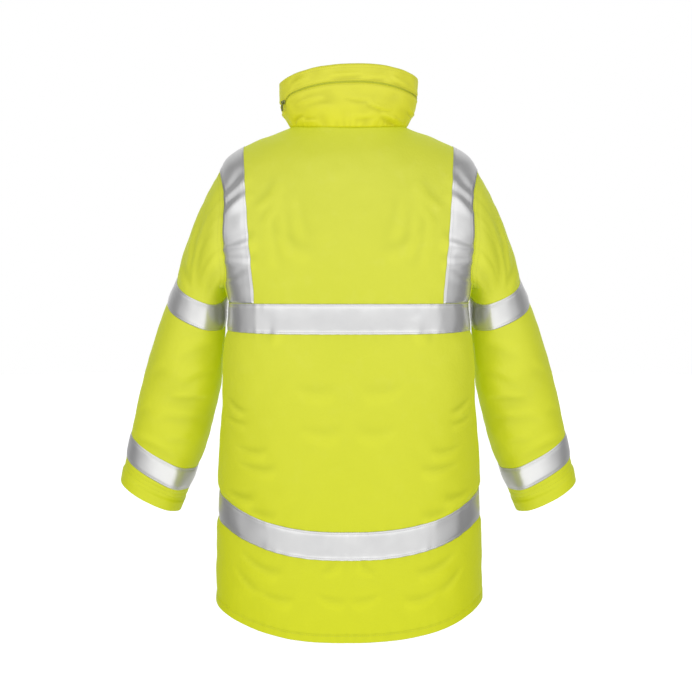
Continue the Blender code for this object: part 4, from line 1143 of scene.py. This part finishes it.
def collar_relief(angles, ups):
    """Height of the collar's wrinkles and of its stuffing, gathered at its foot."""
    across, along = angles * COLLAR_RADIUS, ups * COLLAR_TALL
    relief = crease_relief(COLLAR_CREASES, COLLAR_UNITS, across, along, trough=-1.0)
    relief += soft_ripple(across, along, 31, *COLLAR_RIPPLE)
    gathers = np.sin(GATHERS_ROUND * angles + 2.5 * np.sin(9.0 * angles))
    return relief + FOOT_GATHER * gathers * np.exp(-along / GATHER_FADE)


def collar_grid(ups):
    """The grids of a collar band; ups gives its rows for each angle."""
    angles = np.broadcast_to(COLLAR_ANGLES, ups.shape)
    outer = collar_point(angles, ups)
    if ups[0, 0] == 0.0:
        outer[0] = neck_seam(angles[0]) + np.array((0.0, 0.0, COLLAR_FOOT_CLEAR))
    normal = form_normal(COLLAR, angles, ups)
    for column, sign in ((0, -1.0), (-1, 1.0)):
        outer[:, column, 0] = sign * ZIP_HALF_GAP
        normal[:, column] = (0.0, -1.0, 0.0)
    normal[..., 2] = 0.0
    normal = unit(normal)
    share = np.linspace(0.0, 1.0, len(ups))[:, None]
    edge = np.minimum(1.0, np.minimum(share, 1.0 - share) * SEAM_FLAT) ** 0.5
    relief = collar_relief(angles, ups) * edge
    from_lip = (np.abs(ups - collar_zip(angles)) - collar_zip_half(angles)) * COLLAR_TALL
    relief -= LIP_CURL * np.exp(-from_lip / LIP_WIDTH)
    relief += LIP_ROLL * np.exp(-((from_lip - LIP_ROLL_AT) / LIP_WIDTH) ** 2)
    side = np.clip((math.pi - np.abs(angles)) / FRONT_FLAT, 0.0, 1.0)
    # The last grid sets the painted crease shade of the collar's colour.
    return Cloth(outer + normal * (relief * side)[..., None], outer - normal * COLLAR_WALL,
                 normal, -relief / COLLAR_CREASE_DEEP)


collar_cloth = cloth_material("collar_cloth", COLLAR_YELLOW, COLLAR_SHADE, COLLAR_WORN,
                              COLLAR_TOP_LIGHT_SPAN, COLLAR_GLOW, COLLAR_GLOWS)
COLLAR_ANGLES = np.linspace(-math.pi, math.pi, COLLAR_CELLS + 1)
opening, seam_ups = collar_zip_half(COLLAR_ANGLES), collar_zip(COLLAR_ANGLES)
below, above = seam_ups - opening, seam_ups + opening
lower_collar = collar_grid(np.linspace(0.0, 1.0, COLLAR_LOWER_ROWS + 1)[:, None] * below)
upper_collar = collar_grid(above + np.linspace(0.0, 1.0, COLLAR_UPPER_ROWS + 1)[:, None]
                           * (1.0 - above))
lower_piece = wall_of_cloth("collar_stand", lower_collar, "collar_lower", collar_cloth,
                            free=("bottom",))
upper_piece = wall_of_cloth("collar_band", upper_collar, "collar_upper", collar_cloth,
                            free=("top", "bottom"))
lower_stitches = stitches("stitches_collar_lower", [
    line_in(lower_collar.outer[::-1], lower_collar.out[::-1], COLLAR_STITCH)], thread_yellow)
upper_stitches = stitches("stitches_collar_upper", [
    line_in(upper_collar.outer, upper_collar.out, COLLAR_STITCH),
    line_in(upper_collar.outer[::-1], upper_collar.out[::-1], COLLAR_EDGE_STITCH)],
    thread_yellow)


# ---- Hood zip -----------------------------------------------------------------------
# A coil zip sewn between the collar's stand and its top band. Two narrow woven tapes
# carry the coils, and a painted slider with a flat pull hangs at the left end.
ZIP_YELLOW = (0.540, 0.560, 0.030, 1.0)
# painted light: the sunk zip tape glows so it does not read dark in its groove
ZIP_GLOWS = 0.16
ZIP_RIB = 0.0009             # width of one rib of the zip's woven tape
ZIP_SUNK = 0.0005
ZIP_THICK = 0.0010
COIL_YELLOW = (0.540, 0.560, 0.040, 1.0)
COIL_PITCH = 0.0016
COIL_BLOCK = (0.0011, 0.0010, 0.0006)       # across, along and above the tape
COIL_AT = 0.40               # of the opening's half height, from its middle
STRIP_LINES = (-0.95, -0.5, 0.0, 0.5, 0.95)
SLIDER_GREEN = (0.20, 0.22, 0.07, 1.0)
SLIDER_WORN = (0.44, 0.46, 0.26, 1.0)
RUBBED_SPOTS = (700.0, 4.0)
SPOTS_DULLER = (-0.08, 0.12)
SCRATCHES_RAISE, RIBS_RAISE = (0.15, 0.00005), (0.5, 0.0002)
RIB_SHADE = 0.75
TOOTH_LEVELS = ((-0.3, 1.0), (1.0, 0.72))   # of its height, and its breadth there


def moulded_material(name, colour, worn, metallic, roughness):
    """Moulded or painted small parts: mottled, scratched and paler where they rub."""
    finish, tree, shader = new_material(name, {"Metallic": metallic})
    rub = noise(tree, *RUBBED_SPOTS)
    fill(tree, shader, {
        "Base Color": ramp(tree, rub, ((0.48, colour), (0.66, worn))),
        "Roughness": spread(tree, rub, 0.0, 1.0, *(roughness + off for off in SPOTS_DULLER)),
        "Normal": bump(tree, rub, *SCRATCHES_RAISE)})
    return finish


def teeth(name, rows, pitch, block, finish):
    """A row of small tapered blocks along each line, half a pitch apart from row to row.

    A row is its points, their outward directions and its shift along, in pitches.
    """
    across_size, along_size, high = block
    corners = []
    for line, out, shift in rows:
        length = distance_along(line)
        places = (np.arange(int(length[-1] / pitch) - 1) + 0.5 + shift) * pitch
        middle, up = read_along(places, length, line), unit(read_along(places, length, out))
        run = unit(read_along(places + pitch / 2, length, line)
                   - read_along(places - pitch / 2, length, line))
        side = unit(np.cross(run, up))
        corners.append(np.stack([
            middle + up * high * level + side * across_size * a * narrow
            + run * along_size * b * narrow
            for level, narrow in TOOTH_LEVELS
            for a, b in ((-0.5, -0.5), (0.5, -0.5), (0.5, 0.5), (-0.5, 0.5))], axis=1))
    sides = np.array(((3, 2, 1, 0), (4, 5, 6, 7), (0, 1, 5, 4), (1, 2, 6, 5), (2, 3, 7, 6),
                      (3, 0, 4, 7)))
    first = corners[0][0] - corners[0][0, 0]
    sides = sides if np.dot(np.cross(first[1], first[3]), first[4]) > 0 else sides[:, ::-1]
    return small_parts(name, corners, sides, finish)


def hood_zip_line(share):
    """Points along the hood zip, at a share of its half height from its middle."""
    ups = seam_ups[zipped] + share * COLLAR_ZIP_HALF
    out = unit(form_normal(COLLAR, COLLAR_ANGLES[zipped], ups) * np.array((1.0, 1.0, 0.0)))
    return collar_point(COLLAR_ANGLES[zipped], ups) - out * ZIP_SUNK, out


def zip_strip(name, face, out, node):
    """A strip of the zip's woven tape behind its outer face."""
    return wall_of_cloth(name, Cloth(face, face - out * ZIP_THICK, out, None), node, zip_cloth)


def paint(nodes, finish):
    """Give solids of the frame their material."""
    for node in nodes:
        for material_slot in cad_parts[node].material_slots:
            material_slot.material = finish


zip_cloth, tree, shader = new_material("zip_tape", {
    "Roughness": 0.75, "Sheen Weight": 0.25,
    "Emission Color": CLOTH_GLOW, "Emission Strength": ZIP_GLOWS})
ribs = waves(tree, ZIP_RIB)
colours = ramp(tree, ribs, ((0.0, darker(ZIP_YELLOW, RIB_SHADE)), (1.0, ZIP_YELLOW)))
fill(tree, shader, {"Base Color": colours, "Normal": bump(tree, ribs, *RIBS_RAISE)})
coil = moulded_material("zip_coil", COIL_YELLOW, THREAD_YELLOW, 0.0, 0.45)
painted_metal = moulded_material("zip_metal", SLIDER_GREEN, SLIDER_WORN, 0.8, 0.38)
zipped = np.flatnonzero(opening > 0.9 * COLLAR_ZIP_HALF)
strip_face, strip_out = [np.array(grid) for grid in
                         zip(*(hood_zip_line(share) for share in STRIP_LINES))]
hood_strip = zip_strip("hood_zip_strip", strip_face, strip_out, "hood_zip_tape")
hood_coils = teeth("hood_zip_coils", [(*hood_zip_line(-COIL_AT), 0.0),
                                      (*hood_zip_line(COIL_AT), 0.5)],
                   COIL_PITCH, COIL_BLOCK, coil)
paint(("hood_zip_slider", "hood_zip_pull"), painted_metal)


# ---- Front zip ----------------------------------------------------------------------
# A heavy zip with moulded teeth closes the fronts from the hem to the top of the
# collar. Its two tapes are sewn behind the edges, and its slider is done up.
TOOTH_PITCH = 0.0030
TOOTH_BLOCK = (0.0022, 0.0021, 0.0011)
TOOTH_YELLOW = (0.380, 0.410, 0.022, 1.0)
TOOTH_OFF = 0.0006           # from the zip's middle line
FRONT_ZIP_SUNK = 0.0008
FRONT_STRIP_LINES = (SEAM_GAP / 2, 0.0012, 0.0024, ZIP_HALF_GAP - SEAM_GAP)
tooth_plastic = moulded_material("zip_teeth", TOOTH_YELLOW, COIL_YELLOW, 0.0, 0.40)
tooth_rows, front_strips = [], {}
for side, sign, edge, shift in (("left", 1.0, -1, 0.0), ("right", -1.0, 0, 0.5)):
    line = np.concatenate((fronts[side].outer[::-1, 0], lower_collar.outer[1:, edge],
                           upper_collar.outer[:, edge]))
    out = np.tile((0.0, -1.0, 0.0), (len(line), 1))
    below_collar = fronts[side].out[::-1, 0]
    out[:len(below_collar)] = unit(below_collar * np.array((0.0, 1.0, 1.0)))
    line -= out * FRONT_ZIP_SUNK
    face = np.repeat(line[:, None], len(FRONT_STRIP_LINES), axis=1)
    face[..., 0] = sign * np.array(FRONT_STRIP_LINES)
    front_strips[side] = zip_strip("front_zip_strip_" + side, face, out[:, None],
                                   "front_zip_tape_" + side)
    line[:, 0] = sign * TOOTH_OFF
    tooth_rows.append((line, out, shift))
front_teeth = teeth("front_zip_teeth", tooth_rows, TOOTH_PITCH, TOOTH_BLOCK, tooth_plastic)
paint(("front_zip_slider", "front_zip_pull"), painted_metal)
